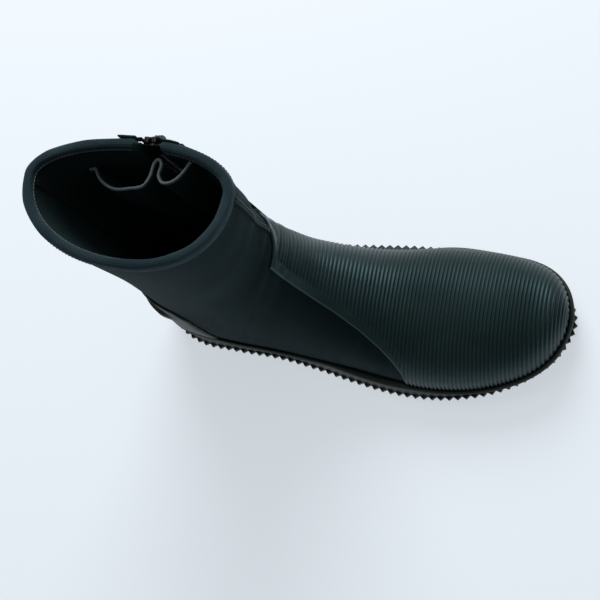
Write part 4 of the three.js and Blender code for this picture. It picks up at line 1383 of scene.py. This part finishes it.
# points on the middle of the folded sheet at heights y
def gussetGrid(y):
    route = splinePath(gussetRoute, gusset["columns"])
    openness = smooth(y, gusset["low"] - 10 * mm, zipSizes["length"] - gusset["drop"])
    x = route[:, 0][None, :] * (0.4 + 0.6 * openness)[:, None]
    depth = (neoprene + 2 * mm) + (route[:, 1][None, :] - neoprene - 2 * mm) * openness[:, None]
    ripple = 0.5 * mm * np.sin(y[:, None] * 90 + x * 260) * openness[:, None]
    return zipPoint(x, y[:, None], -(depth + ripple))


# moves points that lie within clear of the wall, or through it, back to the inside
def keepInside(points, tree, clear):
    moved = points.copy()
    for index in np.ndindex(points.shape[:2]):
        p = Vector(points[index])
        near, normal, _, _ = tree.find_nearest(p)
        depth = (near - p).dot(normal)
        if depth < clear:
            moved[index] = near - normal * clear
    return moved


def makeGusset():
    wall = lining(-neoprene - 0.9 * mm - 2 * gap)
    y = np.linspace(gusset["low"], zipSizes["length"] - gusset["drop"] - 0.2 * mm, gusset["rows"])
    middle = keepInside(gussetGrid(y), wall, gusset["thick"] / 2 + 0.1 * mm)
    down = unit(np.gradient(middle, axis=0))
    across = unit(np.gradient(middle, axis=1))
    normal = unit(np.cross(across, down))
    outer, inner = middle + normal * gusset["thick"] / 2, middle - normal * gusset["thick"] / 2
    sheet = sheetSolid("gusset_web", outer, inner, "lining", clothMap(middle))
    width = np.linalg.norm(np.diff(middle[-1], axis=0), axis=1).sum()
    height = np.linalg.norm(np.diff(middle[:, gusset["columns"] // 2], axis=0), axis=1).sum()
    corner = middle[:-1, :-1]
    cells = np.linalg.norm(np.cross(middle[1:, :-1] - corner, middle[:-1, 1:] - corner), axis=2)
    edge, edgeNormal, edgeUp = middle[-1], normal[-1], -down[-1] if down[-1][0] @ zipUp < 0 else down[-1]
    return sheet, width, height, cells.sum(), edge, edgeNormal, edgeUp


gussetWeb, webWidth, webHeight, webArea, webEdge, webNormal, webUp = makeGusset()
settle(gussetWeb, "boot", "neoprene_jersey", "gusset")


# a bound edge: a narrow folded tape over the sheet's top, with overlock thread round it
def makeBinding():
    turn = np.linspace(0, 2 * math.pi, 13)[:-1]
    wide, tall = gusset["bindingWide"], gusset["bindingTall"]
    middle = webEdge + webUp * (tall + 0.15 * mm)
    grid = (middle[:, None] + webNormal[:, None] * (wide * np.cos(turn))[None, :, None]
            + webUp[:, None] * (tall * np.sin(turn))[None, :, None])
    body = newPiece("binding_body", grid, tubeFaces(len(middle), len(turn)), "overlock")
    points, ahead, at = evenly(middle, 1.5 * mm)
    facing = pointsAt(at, np.linspace(0, at[-1], len(middle)), webNormal)
    parts = [body]
    for side in (-1, 1):
        lean = unit(webUp.mean(axis=0) + 0.35 * side * ahead)
        size = (2.1 * mm, 0.45 * mm, 0.4 * mm)
        parts.append(scattered("overlock_%d" % side, points + unit(facing) * wide * 0.95 * side, lean,
                               unit(facing) * side, stitchTemplate, size, "overlock", 0.15))
    over = np.broadcast_to(webUp.mean(axis=0), points.shape)
    parts.append(scattered("overlock_top", points + over * tall * 0.92, unit(facing), over, stitchTemplate,
                           (1.7 * mm, 0.45 * mm, 0.4 * mm), "overlock", 0.15))
    return joined("gusset_edge", parts)


binding = settle(makeBinding(), "boot", "overlock_thread", "gusset_binding")
min(webArea, webWidth * webHeight)
print("gusset made, flat %.0f by %.0f mm" % (webWidth / mm, webHeight / mm))

# stitching
stitching = {
    "pitch": 2.6 * mm,
    "length": 2.3 * mm,
    "thick": 0.55 * mm,
    "onTape": (9.0 * mm, 16.4 * mm),
    "onPatch": (-2.2 * mm, -7.0 * mm),
    "patchHalf": 16.5 * mm,
    "lift": 0.12 * mm,
}


def stitchRow(name, points, normals, pitch=None, lean=0.0, size=None, material="stitch"):
    pitch = pitch or stitching["pitch"]
    size = size or (stitching["length"], stitching["thick"], stitching["thick"])
    placed, ahead, at = evenly(points, pitch)
    lengths = runLengths(points)
    facing = unit(pointsAt(at, lengths, normals))
    ahead = unit(ahead + lean * np.cross(facing, ahead))
    return scattered(name, placed, ahead, facing, stitchTemplate, size, material, 0.1)


def hemRow(depth, distance, name, lean, material="stitch"):
    a = np.linspace(hemRear + 0.05, hemFront - 0.05, 500)
    s = belowRim(a, np.full_like(a, depth))
    sign = 1 if distance > 0 else -1
    return stitchRow(name, shell(s, a, distance), skinNormal(s, a) * sign, 2.4 * mm, lean, material=material)


hemStitches = joined("hem_stitching", [
    hemRow(6.6 * mm, hem["proud"] + 0.02 * mm, "hem_outside", 0.0),
    hemRow(6.6 * mm, -neoprene - hem["proud"] - 0.1 * mm, "hem_inside", 0.0, "overlock"),
])
settle(hemStitches, "boot", "overlock_thread")


def seamStitches():
    parts = []
    for side in (-1, 1):
        radius = np.linalg.norm(skin(seamS, seamA + 0.01) - skin(seamS, seamA - 0.01), axis=-1) / 0.02
        a = seamA + side * 1.15 * mm / radius
        points = shell(seamS, a, gap + seams["raised"] * 0.97)
        parts.append(stitchRow("seam_row", points, skinNormal(seamS, a), 2.2 * mm, 0.45 * side))
    return joined("seam_stitching", parts)


settle(seamStitches(), "boot", "overlock_thread")


def zipStitches():
    parts = []
    top = zipSizes["length"] - panels["hemHeight"] - 5 * mm
    for side in (-1, 1):
        for across in stitching["onTape"]:
            y = np.linspace(2.5 * mm, top, 60)
            points = zipPoint(np.full(60, side * across), y, np.full(60, tape["thick"] + stitching["lift"]))
            parts.append(stitchRow("zip_row", points, np.broadcast_to(zipOut, points.shape).copy(), 2.6 * mm))
    for y in stitching["onPatch"]:
        x = np.linspace(-1, 1, 30) * stitching["patchHalf"]
        points = zipPoint(x, np.full(30, y), np.full(30, 2 * tape["thick"] + stitching["lift"]))
        parts.append(stitchRow("patch_row", points, np.broadcast_to(zipOut, points.shape).copy(), 2.2 * mm))
    return joined("zip_stitching", parts)


settle(zipStitches(), "boot", "overlock_thread")
print("stitching made")

# names any frame node that no piece stands for
for name, node in frame["nodes"].items():
    if not node.hide_render:
        print("still shown:", name)

# floor and light
studio = {
    "floor": rgb(0.425, 0.455, 0.485),
    "glowColour": rgb(0.85, 0.91, 0.97),
    "glow": 0.634,  # the floor shines a little itself, which keeps the shadows faint
    "sky": rgb(0.86, 0.96, 1.0),
    "skyStrength": 0.15,
    "lights": [
        # name, place, size, power
        ("key", (-0.35, 1.25, 1.15), 1.1, 21),
        ("top", (-0.3, 0.35, 2.1), 1.2, 5),
    ],
}


def makeStudio():
    bpy.ops.mesh.primitive_grid_add(size=16, x_subdivisions=8, y_subdivisions=8, location=(0, 0, -0.0005))
    floor = bpy.context.active_object
    floor.name = "floor"
    material, g, where = newMaterial("floor")
    speck = noise(g, where, 3.0)
    finishShader(g, mixColour(g, speck * 0.05, studio["floor"], rgb(0.4, 0.43, 0.465)), 0.8 + speck * 0.05,
                 Emission_Color=studio["glowColour"], Emission_Strength=studio["glow"],
                 Specular_IOR_Level=0.1)
    floor.data.materials.append(material)
    scene.view_settings.view_transform = "Standard"
    world = bpy.data.worlds.new("studio")
    scene.world = world
    world.use_nodes = True
    background = world.node_tree.nodes["Background"]
    background.inputs["Color"].default_value = studio["sky"]
    background.inputs["Strength"].default_value = studio["skyStrength"]
    for name, place, size, power in studio["lights"]:
        data = bpy.data.lights.new(name, "AREA")
        data.shape = "DISK"
        data.size = size
        data.energy = power
        light = bpy.data.objects.new(name, data)
        light.location = place
        light.rotation_euler = (-Vector(place)).to_track_quat("-Z", "Y").to_euler()
        scene.collection.objects.link(light)


makeStudio()
print("studio made")
